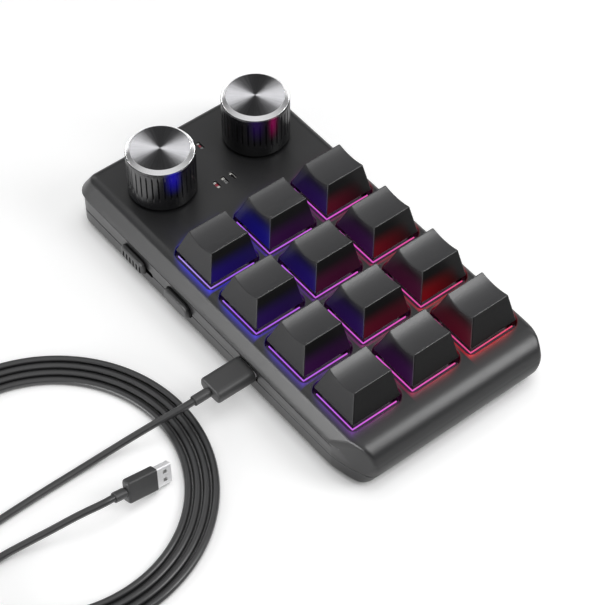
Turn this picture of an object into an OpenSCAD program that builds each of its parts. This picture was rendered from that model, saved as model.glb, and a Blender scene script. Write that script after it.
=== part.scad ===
// Macro keypad: a low case with a 3 by 4 block of keys, two knobs and a USB lead.
// Millimetres. Origin: centre of the case's footprint, on the surface it stands on.
// +Z is up and +Y points from the keys to the knobs. The lead leaves on the -X side.

/* [Case] */
// Width of the case over its sloped edge band
case_w = 75.4; // [75.4:0.2:80]
// Length of the case over its sloped edge band
case_l = 143.8; // [143.8:0.2:150]
// Height of the flat top above the surface it stands on
case_h = 20; // [20:0.1:20.4]
// Wall and floor thickness
wall = 2; // [1.8:0.1:2]
// Height of the sloped band round the top
band_h = 6; // [5.5:0.1:6.2]
// How far the slope runs in from the outer edge
band_in = 3.8; // [3:0.1:3.8]
// Radius of the rounded front edge
front_r = 8.6; // [8.2:0.1:8.6]
// Plan radius of the rear corners
rear_r = 6; // [5:0.5:6]
// How far the feet hold the floor off the surface
foot_gap = 1; // [0.8:0.1:1]

/* [Keys] */
// Distance from key to key, both ways
key_pitch = 22.5; // [22.3:0.1:22.6]
// Y of the middle of the key block
key_block_y = -17.3; // [-17.5:0.1:-17.2]
// Side of a keycap's square skirt
cap_base = 18; // [17.6:0.1:18.1]
// Height of a keycap from its skirt to its highest corners
cap_h = 8.4; // [8:0.1:8.8]
// Gap between the cover's top and a keycap's skirt
cap_gap = 0.85; // [0.8:0.05:1]
// How far a key goes down
key_travel = 4; // [3:0.1:4]
// Side of the square hole in the cover round each key
key_hole = 20.8; // [20.6:0.1:20.8]

/* [Knobs] */
// Distance between the knobs' axes
knob_pitch = 37.1; // [36:0.1:38]
// Y of the knobs' axes
knob_y = 49.9; // [49:0.1:50.5]
// Diameter of a knob
knob_d = 22; // [20:0.5:23]
// Height of a knob
knob_h = 16.9; // [15:0.1:18]
// Gap under a knob
knob_gap = 0.6; // [0.55:0.05:0.8]
// Number of grooves round a knob
knob_grooves = 36; // [24:2:40]
// How far a knob can be pushed in
knob_push = 0.4; // [0.2:0.05:0.4]

/* [Side controls] */
// Length of the slide switch's slot
slot_l = 15.9; // [15.5:0.1:16.2]
// Height of the slide switch's slot
slot_h = 6.3; // [6:0.1:6.4]
// Length of the slide switch's knob
slider_l = 12; // [11:0.5:12]
// Length of the side button
button_l = 12.6; // [12:0.2:13]
// Height of the side button
button_h = 5.9; // [5.5:0.1:6]

/* [Lead] */
// Diameter of the cord
cord_d = 2.3; // [2:0.1:2.4]
// Number of turns lying side by side in the coil
coil_turns = 4; // [3:1:4]
// Distance from turn to turn
coil_pitch = 2.7; // [2.5:0.1:2.8]
// Inner radius of the coil
coil_r = 40.2; // [39:0.1:40.4]

/* [Hidden] */
$fn = 64;
eps = 0.01;

KEY_COLUMNS = ["a", "b", "c"];
KEY_ROWS = [1, 2, 3, 4];
KEYS = [for (c = [0:2]) for (r = [0:3]) [c, r]];
SIDES = ["left", "right"];

// Heights of the case, from the surface up.
floor_z = foot_gap;
floor_top = floor_z + wall;
parting_z = 7;
parting_gap = 0.3;
shell_top = parting_z - parting_gap / 2;
cover_bottom = parting_z + parting_gap / 2;
band_z = case_h - band_h;
groove_h = 0.9;
groove_d = 1;
overhang = 0.6;
lip_slope = 0.3;
plate_t = 2.2;
cover_under = case_h - plate_t;
slope = band_in / band_h;

// Half sizes of the case in plan.
half_w = case_w / 2;
half_l = case_l / 2;
corner_x = half_w - rear_r;
corner_y = half_l - rear_r;
arc_y = -half_l + front_r;
arc_z = case_h - front_r;
// The front corners are cut by a facet that meets the side at facet_y and is facet_a from it.
facet_a = 19.86;
facet_y = -half_l + 14.1;
facet_wall_x = half_w - overhang;
facet_d = cos(facet_a) * facet_wall_x - sin(facet_a) * facet_y;
front_corner_r = 3;
skin = wall + overhang;

// The board stack.
pcb_t = 1.6;
pcb_z = 7.75;
pcb_top = pcb_z + pcb_t;
pcb_half_w = 33.5;
pcb_front = -67.4;
pcb_rear = 66;
key_plate_t = 1.5;
key_plate_top = pcb_top + 5;
housing_top = key_plate_top + 6.6;
housing_w = 13.9;
flange_w = 15.6;
stem_slot = [7.8, 6.4];
stem_block = [7.2, 5.8];
stem_h = 6;
stem_z = housing_top - stem_h;
stem_floor = stem_z - key_travel - 0.55;
cross_l = 4;
cross_t = 1.17;
cross_h = 3.6;
cap_z = case_h + cap_gap;
// The keycap's top is smaller than its skirt and set over towards +X and +Y.
cap_top_x = [-5.37, 8.5];
cap_top_y = [-5.08, 6.43];
cap_wall = 1.3;
cap_roof = 2.2;
cap_boss_d = 5.5;
dish_depth = 1;
led = [2.8, 2, 1.4];
led_y = 5.1;

// Loose parts on the board and under it.
lamp = [1.2, 2, 0.8];
chip = [7, 6, 0.9];
chip_c = [-4, 31.5];
cell = [20, 28, 3.6];
cell_y = 36;
side_switch = [3.6, 10, 3.55];
push_switch = [3.4, 4.6, 3.55];
switch_drop = 3.6;

// The side controls and the port, all on the -X wall.
side_z = 7.7;
wall_x = half_w - overhang;
inner_x = wall_x - wall;
slot_y = 38.35;
button_y = 17.2;
slider_play = 0.25;
slider_travel = slot_l - slider_l - 2 * slider_play;
slider_y = slot_y + slot_l / 2 - slider_play - slider_l / 2;
slider_out = 1.7;
slider_ribs = 6;
rib_groove_r = 0.5;
flange_t = 0.6;
flange_h = 8.2;
flange_gap = 0.3;
button_out = 1.6;
button_gap = 0.3;
port_y = -17.3;
port_z = 9.3;

// The lead: where it leaves the port, its plug and its coil.
overmold_c = [13.4, 9.6, 5.2];
overmold_gap = 0.5;
collar_d = 3.3;
collar_l = 6;
usb_c_plug = [8.25, 2.4];
usb_c_port = [8.94, 3.26];
port_hole = [9.5, 3.8];
port_notch = [7, 9.2];
socket_l = 7.1;
socket_tongue = [6.68, 0.7];
socket_skin = 0.3;
plug_depth = 3;
coil_c = [-107.3, -12.3];
overmold_a = [10.6, 3.4, 7.3];
shell_a = [5.3, 2.4, 6.5];
collar_a_l = 4.2;
plug_c = [-85.5, -29.7, 5.7];
plug_turn = [-19, 12.4, 1.3];
cord_sides = 8;
cord_steps = 3;
// Lead from the keypad's connector, over the coil and across to its far side.
KEYPAD_ROUTE = [[-57, -17.3, 9.3], [-62, -16.9, 8.8], [-69, -15.4, 7], [-77, -13.7, 4.6],
                [-85, -12.3, 2.4], [-94, -11.6, 1.3], [-110, -11.5, 1.15], [-128, -11.8, 1.15],
                [-147.5, -12.3, 1.15]];
// Lead from the far plug to the coil.
PLUG_ROUTE = [[-95, -29.9, 7.8], [-99, -29.7, 8], [-106, -28.1, 7], [-114, -26.2, 5],
              [-122, -24.2, 3], [-130, -22.8, 1.6], [-138, -22, 1.15], [-146.4, -21.6, 1.15]];

// The knobs: encoder, rotor and shaft, and the heights of the knob's body and metal cap.
encoder = [11.7, 12, 6.5];
rotor_z = pcb_top + 1.4;
rotor_h = 2.6;
rotor_r = 4.5;
shaft_r = 3;
shaft_foot = pcb_top + knob_push + 0.1;
shaft_top = case_h + 11;
flat_z = case_h + 2;
flat_x = 1.5;
bush_r = 3.5;
bush_hole_r = 3.8;
knob_z = case_h + knob_gap;
knob_top = knob_z + knob_h;
bezel_h = 1.04;
bezel_r = 9.47;
cap_seat = knob_top - 1.2;
cap_recess = 0.8;
cap_plug_r = 8;
cap_inset = 0.29;
groove_z = [knob_z + 3.6, knob_top - 2.5];
groove_r = 0.45;
groove_out = 0.15;
hub_r = 5;
knob_wall = 2.2;

// Screws, the posts that they join, and the feet.
shank_r = 0.98;
shank_h = 12;
head_r = 1.9;
head_h = 1.4;
recess = [2.2, 0.5, 0.7];
bite_r = 1;
boss_r = 2.5;
post_r = 3;
post_bore_r = 1.2;
head_bore_r = 2.2;
foot_r = 4.2;
foot_plug_r = 3.9;
foot_seat_r = 4.6;
foot_seat = 0.6;
SCREWS = [for (x = [-1, 1]) for (p = [[30.3, 64], [26, 31], [27, -65]]) [x * p[0], p[1]]];
FEET = [for (x = [-1, 1]) for (y = [-1, 1]) [x * 28, y * 57]];

// Indicator slots and the light guide.
SLOTS = [[-4.75, 40], [-1.6, 40], [1.6, 40], [1.3, 56.9]];
slot_size = [1.35, 3.25];
window_lip = [0.5, 0.8];
guide_sheet = 1.1;
guide_play = 0.4;
guide_corner_r = 2.6;
guide_half_w = 31;
guide_edge = 9;
guide_gap = 0.3;
guide_set = 0.5;
plate_half_w = 33;
plate_edge = 10.5;
plate_hole = 14;
key_hole_r = 2;

function key_name(k) = str(KEY_COLUMNS[k[0]], KEY_ROWS[k[1]]);
function key_x(k) = (k[0] - 1) * key_pitch;
function key_y(k) = key_block_y + (1.5 - k[1]) * key_pitch;
function mirrored(points) = concat(points, [for (i = [len(points) - 1:-1:0])
                                            [-points[i][0], points[i][1]]]);

// ---------- helpers ----------

module mirror_copy(axis) {
    children();
    mirror(axis) children();
}

// The case's outline seen from above, set in by d at the sides and rear and by front_d
// at the front and its facets, where wall and band are flush.
module plan(d, front_d) {
    x = half_w - d;
    y0 = -half_l + front_d;
    facet = facet_d - front_d;
    side_y = (cos(facet_a) * x - facet) / sin(facet_a);
    nose_x = (facet + sin(facet_a) * y0) / cos(facet_a);
    rf = front_corner_r - front_d;
    rr = rear_r - d;
    t = rf * tan((90 - facet_a) / 2);
    polygon(mirrored([
        [nose_x - t, y0],
        [nose_x + t * sin(facet_a), y0 + t * cos(facet_a)],
        [x, side_y],
        [x, corner_y],
        [corner_x, half_l - d]
    ]));
    mirror_copy([1, 0]) {
        translate([nose_x - t, y0 + rf]) circle(rf);
        translate([corner_x, corner_y]) circle(rr);
    }
}

// A slab of the plan from z0 to z1, set in by d and front_d.
module slab(d, front_d, z0, z1) {
    translate([0, 0, z0]) linear_extrude(z1 - z0) plan(d, front_d);
}

// A block whose sides and rear slope in from z0 to z1, for a plan set in by d and front_d.
module sloped_block(d, front_d, z0, z1) {
    rise = z1 - z0;
    x = half_w - d;
    y = half_l - d;
    run = rise * slope;
    r = rear_r - d;
    intersection() {
        union() {
            translate([0, corner_y, 0]) rotate([90, 0, 0]) linear_extrude(corner_y + half_l)
                polygon(mirrored([[x, z0], [x - run, z1]]));
            translate([-corner_x, 0, 0]) rotate([90, 0, 90]) linear_extrude(2 * corner_x)
                polygon([[-half_l, z0], [y, z0], [y - run, z1], [-half_l, z1]]);
            mirror_copy([1, 0, 0]) translate([corner_x, corner_y, z0])
                cylinder(h = rise, r1 = r, r2 = r - run);
        }
        slab(d, front_d, z0, z1);
    }
}

// Everything behind a rounded front edge of radius r.
module behind_front(r) {
    rotate([90, 0, 90]) translate([0, 0, -case_w]) linear_extrude(2 * case_w) {
        translate([arc_y, arc_z - r]) square([case_l * 1.2, 2 * r + case_h]);
        translate([arc_y, -1]) square([case_l * 1.2, case_h]);
        translate([arc_y, arc_z]) circle(r, $fn = 96);
    }
}

module rounded_square(size, r) {
    square([size, size - 2 * r], center = true);
    square([size - 2 * r, size], center = true);
    for (x = [-1, 1])
        for (y = [-1, 1])
            translate([x, y] * (size / 2 - r)) circle(r);
}

// A stadium, length l and height h, long way along X.
module stadium(l, h) {
    square([l - h, h], center = true);
    mirror_copy([1, 0]) translate([(l - h) / 2, 0]) circle(h / 2);
}

// A stadium bar through the -X wall, from x0 to x1, with its long way along Y.
module side_bar(l, h, y, z, x0, x1) {
    translate([x0, y, z]) rotate([90, 0, 90]) linear_extrude(x1 - x0) stadium(l, h);
}

module at_key(k, z = 0) {
    translate([key_x(k), key_y(k), z]) children();
}

// ---------- case ----------

// The openings that both halves of the case leave in the -X wall.
module side_openings() {
    clear = 2 * button_gap;
    translate([-half_w - 1, slot_y - slot_l / 2, side_z - slot_h / 2])
        cube([half_w - inner_x + 2, slot_l, slot_h]);
    side_bar(button_l + clear, button_h + clear, button_y, side_z, -half_w - 1, -inner_x + 1);
}

module top_cover() {
    color("#2b2b2d") difference() {
        intersection() {
            union() {
                slab(overhang, 0, cover_bottom, band_z - groove_h);
                slab(groove_d, 0, band_z - groove_h - eps, band_z - lip_slope);
                slab(0, 0, band_z - lip_slope, band_z);
                sloped_block(0, 0, band_z, case_h);
            }
            behind_front(front_r);
        }
        difference() {
            intersection() {
                union() {
                    slab(skin, wall, 0, band_z - groove_h);
                    sloped_block(skin, wall, band_z - groove_h, cover_under);
                }
                behind_front(front_r - plate_t);
            }
            cover_bosses();
        }
        for (k = KEYS)
            at_key(k, band_z + 1) linear_extrude(case_h) rounded_square(key_hole, key_hole_r);
        for (x = [-1, 1])
            translate([x * knob_pitch / 2, knob_y, cover_under - 1])
                cylinder(h = case_h, r = bush_hole_r);
        for (s = SLOTS)
            translate([s[0], s[1], cover_under - 1]) linear_extrude(case_h)
                square(slot_size, center = true);
        for (s = SCREWS)
            translate([s[0], s[1], 0]) cylinder(h = cover_under - 1.5, r = bite_r);
        side_openings();
        side_bar(port_hole[0], port_hole[1], port_y, port_z, -half_w - 1, -inner_x + 1);
        translate([-half_w - 1, port_y - port_hole[0] / 2, 0])
            cube([half_w - inner_x + 2, port_hole[0], port_z]);
    }
}

// Posts under the cover that the case screws bite into.
module cover_bosses() {
    for (s = SCREWS)
        translate([s[0], s[1], pcb_top + 0.05]) cylinder(h = case_h, r = boss_r);
}

module bottom_shell() {
    edge = 1.3;
    nose = [[4.6, floor_z], [3.6, floor_z + 1.5], [1.2, parting_z]];
    color("#303032") difference() {
        union() {
            difference() {
                intersection() {
                    slab(overhang, 0, floor_z, shell_top);
                    translate([0, case_l, 0]) rotate([90, 0, 0]) linear_extrude(2 * case_l)
                        polygon(mirrored([[wall_x - edge, floor_z], [wall_x, floor_z + edge],
                                          [wall_x, parting_z]]));
                    translate([-case_w, 0, 0]) rotate([90, 0, 90]) linear_extrude(2 * case_w)
                        polygon(concat([for (p = nose) [p[0] - half_l, p[1]]],
                                       [[half_l - overhang, parting_z],
                                        [half_l - overhang, floor_z + edge],
                                        [half_l - overhang - edge, floor_z]]));
                }
                intersection() {
                    slab(skin, wall, floor_top, case_h);
                    translate([-half_w, nose[0][0] + 1 - half_l, 0]) cube([case_w, case_l, case_h]);
                }
            }
            tongue();
            for (s = SCREWS)
                translate([s[0], s[1], floor_z + 0.5])
                    cylinder(h = pcb_z - floor_z - 0.5, r = post_r);
        }
        for (s = SCREWS)
            translate([s[0], s[1], -1]) {
                cylinder(h = case_h, r = post_bore_r);
                cylinder(h = floor_top + 1, r = head_bore_r);
            }
        for (f = FEET)
            translate([f[0], f[1], -1]) cylinder(h = floor_z + 1 + foot_seat, r = foot_seat_r);
        side_openings();
        translate([-half_w - 1, port_y - port_hole[0] / 2, parting_z - 1])
            cube([half_w - inner_x + 2.5, port_hole[0], 5]);
    }
}

// A thin rim on the bottom shell that slips inside the cover's wall.
module tongue() {
    play = 0.05;
    intersection() {
        difference() {
            slab(skin + play, wall + play, floor_top, parting_z + 1.4);
            slab(skin + play + 1, wall, 0, case_h);
            translate([-half_w, button_y - 9, 0]) cube([8, slot_y - button_y + 25, case_h]);
        }
        translate([-half_w, facet_y + 2, 0]) cube([case_w, case_l, case_h]);
    }
}

module rubber_feet() {
    color("#1a1a1a") for (f = FEET)
        translate([f[0], f[1], 0]) {
            cylinder(h = foot_gap, r = foot_r);
            cylinder(h = foot_gap + foot_seat, r = foot_plug_r);
        }
}

module case_screws() {
    color("#9a9a9a") for (s = SCREWS)
        translate([s[0], s[1], floor_top - head_h]) difference() {
            union() {
                cylinder(h = head_h, r = head_r);
                cylinder(h = head_h + shank_h, r = shank_r);
            }
            for (a = [0, 90])
                rotate(a) translate([0, 0, -eps]) linear_extrude(recess[2])
                    square([recess[0], recess[1]], center = true);
        }
}

// ---------- boards and inner parts ----------

module main_pcb() {
    chamfer = [3.2, 9];
    color("#163a22") translate([0, 0, pcb_z]) linear_extrude(pcb_t) difference() {
        polygon(mirrored([[pcb_half_w - chamfer[0], pcb_front],
                          [pcb_half_w, pcb_front + chamfer[1]],
                          [pcb_half_w, pcb_rear - 3],
                          [pcb_half_w - 3, pcb_rear]]));
        for (k = KEYS)
            translate([key_x(k), key_y(k)]) circle(2);
        for (s = SCREWS)
            translate(s) circle(post_bore_r);
        translate([-pcb_half_w - 1, port_y - port_notch[1] / 2]) square(port_notch);
    }
}

module controller_chip() {
    color("#151515") translate([chip_c[0], chip_c[1], pcb_top]) cube(chip);
}

module switch_plate() {
    y0 = key_y([0, 3]) - plate_edge;
    color("#4a4c50") translate([0, 0, key_plate_top - key_plate_t]) linear_extrude(key_plate_t)
        difference() {
            translate([-plate_half_w, y0])
                square([2 * plate_half_w, key_y([0, 0]) + plate_edge - y0]);
            for (k = KEYS)
                translate([key_x(k), key_y(k)]) square(plate_hole, center = true);
            mirror_copy([1, 0]) translate([plate_half_w + 1, y0]) rotate(45)
                square(4, center = true);
        }
}

module light_guide() {
    sheet_z = cover_under - guide_sheet - 0.1;
    rim_top = case_h - guide_set;
    inner = cap_base + 2 * guide_gap;
    y0 = key_y([0, 3]) - guide_edge;
    color("#b070ff") difference() {
        union() {
            translate([-guide_half_w, y0, sheet_z])
                cube([2 * guide_half_w, key_y([0, 0]) + guide_edge - y0, guide_sheet]);
            for (k = KEYS)
                at_key(k, sheet_z) linear_extrude(rim_top - sheet_z)
                    rounded_square(key_hole - guide_play, key_hole_r - guide_play / 2);
        }
        for (k = KEYS)
            at_key(k, 0) {
                linear_extrude(case_h) square(inner, center = true);
                for (s = [-1, 1])
                    translate([-s, s, 0] * key_hole / 2 + [0, 0, cover_under])
                        cylinder(h = case_h, r = guide_corner_r);
            }
    }
}

module switch_housings() {
    body_h = housing_top - key_plate_top;
    color("#dcdcdc") for (k = KEYS)
        at_key(k) difference() {
            union() {
                translate([0, 0, pcb_top]) linear_extrude(key_plate_top - pcb_top)
                    square(housing_w, center = true);
                translate([0, 0, key_plate_top]) linear_extrude(1) square(flange_w, center = true);
                intersection() {
                    translate([0, 10, key_plate_top]) rotate([90, 0, 0]) linear_extrude(20)
                        polygon(mirrored([[7, 0], [5.3, body_h]]));
                    translate([-10, 0, key_plate_top]) rotate([90, 0, 90]) linear_extrude(20)
                        polygon(mirrored([[7, 0], [4.9, body_h]]));
                }
                translate([0, 0, pcb_top - 3.2]) cylinder(h = 4, r = 1.95);
            }
            translate([0, 0, stem_floor]) linear_extrude(housing_top) square(stem_slot, center = true);
            translate([0, led_y, pcb_top - eps]) linear_extrude(housing_top)
                square([led[0] + 0.6, led[1] + 0.6], center = true);
        }
}

module key_leds() {
    color("#fff4d0") for (k = KEYS)
        at_key(k, pcb_top) translate([-led[0] / 2, led_y - led[1] / 2, 0]) cube(led);
}

module indicator_leds() {
    color("#fff4d0") for (s = SLOTS)
        translate([s[0] - lamp[0] / 2, s[1] - lamp[1] / 2, pcb_top]) cube(lamp);
}

module indicator_windows() {
    color("#e8e8f0") for (s = SLOTS)
        translate([s[0], s[1], 0]) {
            translate([0, 0, pcb_top + 1]) linear_extrude(case_h - 0.2 - pcb_top - 1)
                square(slot_size - [0.1, 0.1], center = true);
            translate([0, 0, cover_under - 0.9]) linear_extrude(0.8)
                square(slot_size + window_lip, center = true);
        }
}

module battery() {
    color("#c8c8cc") translate([-cell[0] / 2, cell_y, floor_top + 0.1]) cube(cell);
}

module usb_socket() {
    x0 = -wall_x + 0.3;
    bore = usb_c_port - [2, 2] * socket_skin;
    color("#b8b8bc") {
        difference() {
            side_bar(usb_c_port[0], usb_c_port[1], port_y, port_z, x0, x0 + socket_l);
            side_bar(bore[0], bore[1], port_y, port_z, x0 - 1, x0 + socket_l - 0.4);
        }
        translate([x0 + 1, port_y - socket_tongue[0] / 2, port_z - socket_tongue[1] / 2])
            cube([socket_l - 1.2, socket_tongue[0], socket_tongue[1]]);
    }
}

// ---------- side controls ----------

module slide_switch_body() {
    color("#8c8c90") translate([-32.6, slot_y - side_switch[1] / 2, pcb_z - switch_drop])
        difference() {
            cube(side_switch);
            translate([-1, 1, 1]) cube([side_switch[0] - 1, side_switch[1] - 2, 1.6]);
        }
}

module slide_switch_knob() {
    block_h = slot_h - 2 * button_gap;
    rib_pitch = slider_l / slider_ribs;
    flange_x = -inner_x + flange_gap;
    flange_rear = slot_y + slot_l / 2 + 1 + slider_travel;
    flange_front = slot_y - slot_l / 2 - 1;
    color("#1c1c1e") {
        difference() {
            translate([-wall_x - slider_out, slider_y - slider_l / 2, side_z - block_h / 2])
                cube([slider_out + wall_x + flange_x, slider_l, block_h]);
            for (i = [0:slider_ribs])
                translate([-wall_x - slider_out, slider_y - slider_l / 2 + i * rib_pitch, 0])
                    cylinder(h = case_h, r = rib_groove_r);
        }
        translate([flange_x, flange_front, floor_top + 0.3])
            cube([flange_t, flange_rear - flange_front, flange_h]);
        translate([flange_x, slider_y - 0.8, pcb_z - 2.4]) cube([2.4, 1.6, 1.2]);
    }
}

module side_button() {
    flange_x = -inner_x + flange_gap;
    color("#1c1c1e") {
        side_bar(button_l, button_h, button_y, side_z, -wall_x - button_out, flange_x);
        side_bar(button_l + 2, button_h + 2, button_y, side_z, flange_x, flange_x + flange_t);
        translate([flange_x, button_y - 1, pcb_z - 3]) cube([0.85, 2, 2.4]);
    }
}

module side_button_switch() {
    color("#8c8c90") {
        translate([-33, button_y - push_switch[1] / 2, pcb_z - switch_drop]) cube(push_switch);
        translate([-33.5, button_y, pcb_z - 1.8]) rotate([0, 90, 0]) cylinder(h = 1, r = 0.8);
    }
}

// ---------- knobs ----------

module at_knob(side) {
    translate([side * knob_pitch / 2, knob_y, 0]) children();
}

module encoder_body(side) {
    bush_z = pcb_top + encoder[2];
    color("#9a9ca0") at_knob(side) difference() {
        union() {
            translate([-encoder[0] / 2, -encoder[1] / 2, pcb_top]) cube(encoder);
            translate([0, 0, bush_z - eps]) cylinder(h = case_h - 0.1 - bush_z, r = bush_r);
        }
        translate([0, 0, -1]) cylinder(h = case_h + 2, r = shaft_r + 0.05);
        translate([0, 0, rotor_z - 0.1]) cylinder(h = rotor_h + 0.2, r = rotor_r + 0.3);
    }
}

module encoder_rotor(side) {
    color("#303030") at_knob(side) translate([0, 0, rotor_z]) difference() {
        cylinder(h = rotor_h, r = rotor_r);
        translate([0, 0, -1]) cylinder(h = rotor_h + 2, r = shaft_r + 0.05);
    }
}

// The 6 mm shaft with its flat.
module encoder_shaft(side) {
    color("#b8b8bc") at_knob(side) difference() {
        translate([0, 0, shaft_foot]) cylinder(h = shaft_top - shaft_foot, r = shaft_r);
        translate([flat_x, -5, flat_z]) cube([5, 10, case_h]);
    }
}

module knob_body(side) {
    r = knob_d / 2;
    color("#121214") at_knob(side) difference() {
        union() {
            translate([0, 0, knob_z]) cylinder(h = groove_z[0] - knob_z, r = r);
            translate([0, 0, groove_z[0]]) linear_extrude(groove_z[1] - groove_z[0])
                difference() {
                    circle(r);
                    for (i = [1:knob_grooves])
                        rotate(i * 360 / knob_grooves) translate([r + groove_out, 0])
                            circle(groove_r, $fn = 24);
                }
            translate([0, 0, groove_z[1]]) cylinder(h = cap_seat - groove_z[1], r = r);
        }
        translate([0, 0, cap_seat - cap_recess]) cylinder(h = 2, r = cap_plug_r + 0.1);
        difference() {
            translate([0, 0, knob_z - 1]) cylinder(h = 8, r = r - knob_wall);
            translate([0, 0, knob_z + 1]) cylinder(h = 8, r = hub_r);
        }
        difference() {
            translate([0, 0, knob_z - 1]) cylinder(h = shaft_top - knob_z + 1.2, r = shaft_r + 0.03);
            translate([flat_x + 0.03, -5, flat_z + 0.2]) cube([5, 10, case_h]);
        }
    }
}

// The turned metal top of a knob with its bright bevel.
module knob_cap(side) {
    r = knob_d / 2 - cap_inset;
    color("#c8c8cc") at_knob(side) rotate_extrude($fn = 96)
        polygon([[0, cap_seat - cap_recess], [cap_plug_r, cap_seat - cap_recess],
                 [cap_plug_r, cap_seat], [r, cap_seat], [r, knob_top - bezel_h],
                 [bezel_r, knob_top], [0, knob_top]]);
}

// ---------- keys ----------

// A block with a square foot and a smaller top set over to one side.
module cap_block(foot, top_x, top_y, h) {
    half = foot / 2;
    intersection() {
        translate([0, half + 1, 0]) rotate([90, 0, 0]) linear_extrude(foot + 2)
            polygon([[-half, 0], [half, 0], [top_x[1], h], [top_x[0], h]]);
        translate([-half - 1, 0, 0]) rotate([90, 0, 90]) linear_extrude(foot + 2)
            polygon([[-half, 0], [half, 0], [top_y[1], h], [top_y[0], h]]);
    }
}

module keycap(k) {
    half = (cap_top_y[1] - cap_top_y[0]) / 2;
    dish_y = (cap_top_y[1] + cap_top_y[0]) / 2;
    dish_r = (half * half + dish_depth * dish_depth) / (2 * dish_depth);
    inside_h = cap_h - cap_roof;
    in_x = [cap_top_x[0] + 0.3, cap_top_x[1] - cap_wall];
    in_y = [cap_top_y[0] + 0.3, cap_top_y[1] - cap_wall + 0.3];
    color("#26262a") at_key(k, cap_z) {
        difference() {
            cap_block(cap_base, cap_top_x, cap_top_y, cap_h);
            translate([-cap_base, dish_y, cap_h - dish_depth + dish_r]) rotate([0, 90, 0])
                cylinder(h = 2 * cap_base, r = dish_r, $fn = 128);
            difference() {
                translate([0, 0, -eps])
                    cap_block(cap_base - 2 * cap_wall, in_x, in_y, inside_h + eps);
                translate([0, 0, 0.4]) cylinder(h = cap_h, r = cap_boss_d / 2);
            }
            for (a = [0, 90])
                rotate(a) translate([-cross_l / 2, -cross_t / 2, -1])
                    cube([cross_l, cross_t, cross_h + 1.2]);
        }
    }
}

// The slider inside a switch, with the cross that holds the keycap.
module key_stem(k) {
    color("#b03028") at_key(k) {
        translate([0, 0, stem_z]) linear_extrude(stem_h) square(stem_block, center = true);
        for (a = [0, 90])
            rotate(a) translate([-cross_l / 2, -cross_t / 2, housing_top - eps])
                cube([cross_l, cross_t, cross_h]);
    }
}

// ---------- lead ----------

function spline_point(p, i, t) =
    let (a = p[max(i - 1, 0)], b = p[i], c = p[i + 1], d = p[min(i + 2, len(p) - 1)])
    b + 0.5 * t * ((c - a) + t * ((2 * a - 5 * b + 4 * c - d) + t * (3 * b - a - 3 * c + d)));
function spline(p, steps) = concat(
    [for (i = [0:len(p) - 2]) for (s = [0:steps - 1]) spline_point(p, i, s / steps)],
    [p[len(p) - 1]]);
function unit(v) = v / norm(v);
function heading(p, i) = unit(p[min(i + 1, len(p) - 1)] - p[max(i - 1, 0)]);
function ring(c, dir, r) =
    let (u = unit(cross(dir, [0, 0, 1])), v = cross(u, dir))
    [for (s = [0:cord_sides - 1])
        let (a = (s + 0.5) * 360 / cord_sides) c + r * (cos(a) * u + sin(a) * v)];

// A plain tube along a route.
module tube(route) {
    path = spline(route, cord_steps);
    rings = len(path);
    points = [for (i = [0:rings - 1]) each ring(path[i], heading(path, i), cord_d / 2)];
    side_faces = [for (i = [0:rings - 2]) for (s = [0:cord_sides - 1])
        let (n = (s + 1) % cord_sides, b = i * cord_sides)
        [b + s, b + n, b + cord_sides + n, b + cord_sides + s]];
    start = [for (s = [cord_sides - 1:-1:0]) s];
    end = [for (s = [0:cord_sides - 1]) (rings - 1) * cord_sides + s];
    polyhedron(points, concat([start], side_faces, [end]));
}

module keypad_lead() {
    color("#2c2c2c") tube(KEYPAD_ROUTE);
}

module plug_lead() {
    color("#2c2c2c") tube(PLUG_ROUTE);
}

module cable_coil() {
    w = coil_turns * coil_pitch;
    color("#2c2c2c") translate([coil_c[0], coil_c[1], 0]) rotate_extrude($fn = 128)
        translate([coil_r, 0]) square([w, cord_d]);
}

module usb_c_overmold() {
    x1 = -wall_x - overmold_gap;
    color("#2a2a2a") difference() {
        union() {
            side_bar(overmold_c[1], overmold_c[2], port_y, port_z, x1 - overmold_c[0], x1);
            translate([x1 - overmold_c[0] - collar_l, port_y, port_z]) rotate([0, 90, 0])
                cylinder(h = collar_l + 1, r = collar_d / 2);
        }
        side_bar(usb_c_plug[0], usb_c_plug[1], port_y, port_z, x1 - plug_depth, x1 + 1);
    }
}

module usb_c_shell() {
    x1 = -wall_x - overmold_gap;
    color("#c0c0c4") difference() {
        side_bar(usb_c_plug[0], usb_c_plug[1], port_y, port_z, x1 - plug_depth, x1 + 6.65);
        side_bar(usb_c_plug[0] - 0.7, usb_c_plug[1] - 0.7, port_y, port_z, x1 - 0.5, x1 + 8);
    }
}

module at_plug() {
    translate(plug_c) rotate(plug_turn) children();
}

module plug_overmold() {
    color("#2a2a2a") at_plug() difference() {
        union() {
            translate(-overmold_a / 2) cube(overmold_a);
            translate([-overmold_a[0] / 2 - collar_a_l, 0, 0]) rotate([0, 90, 0])
                cylinder(h = collar_a_l + 1, r = collar_d / 2);
        }
        translate([overmold_a[0] / 2 - 3, -shell_a[1] / 2, -shell_a[2] / 2])
            cube([4, shell_a[1], shell_a[2]]);
    }
}

module plug_shell() {
    skin_t = 0.2;
    mouth = overmold_a[0] / 2 + shell_a[0];
    color("#d0d0d4") at_plug() difference() {
        translate([overmold_a[0] / 2 - 3, -shell_a[1] / 2, -shell_a[2] / 2])
            cube([3 + shell_a[0], shell_a[1], shell_a[2]]);
        translate([overmold_a[0] / 2, -shell_a[1] / 2 + skin_t, -shell_a[2] / 2 + skin_t])
            cube([shell_a[0] + 1, shell_a[1] - 2 * skin_t, shell_a[2] - 2 * skin_t]);
        for (z = [-1, 1])
            translate([mouth - 3, -shell_a[1], z * 1.35 - 0.6]) cube([1.3, shell_a[1] * 2, 1.2]);
    }
}

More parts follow.
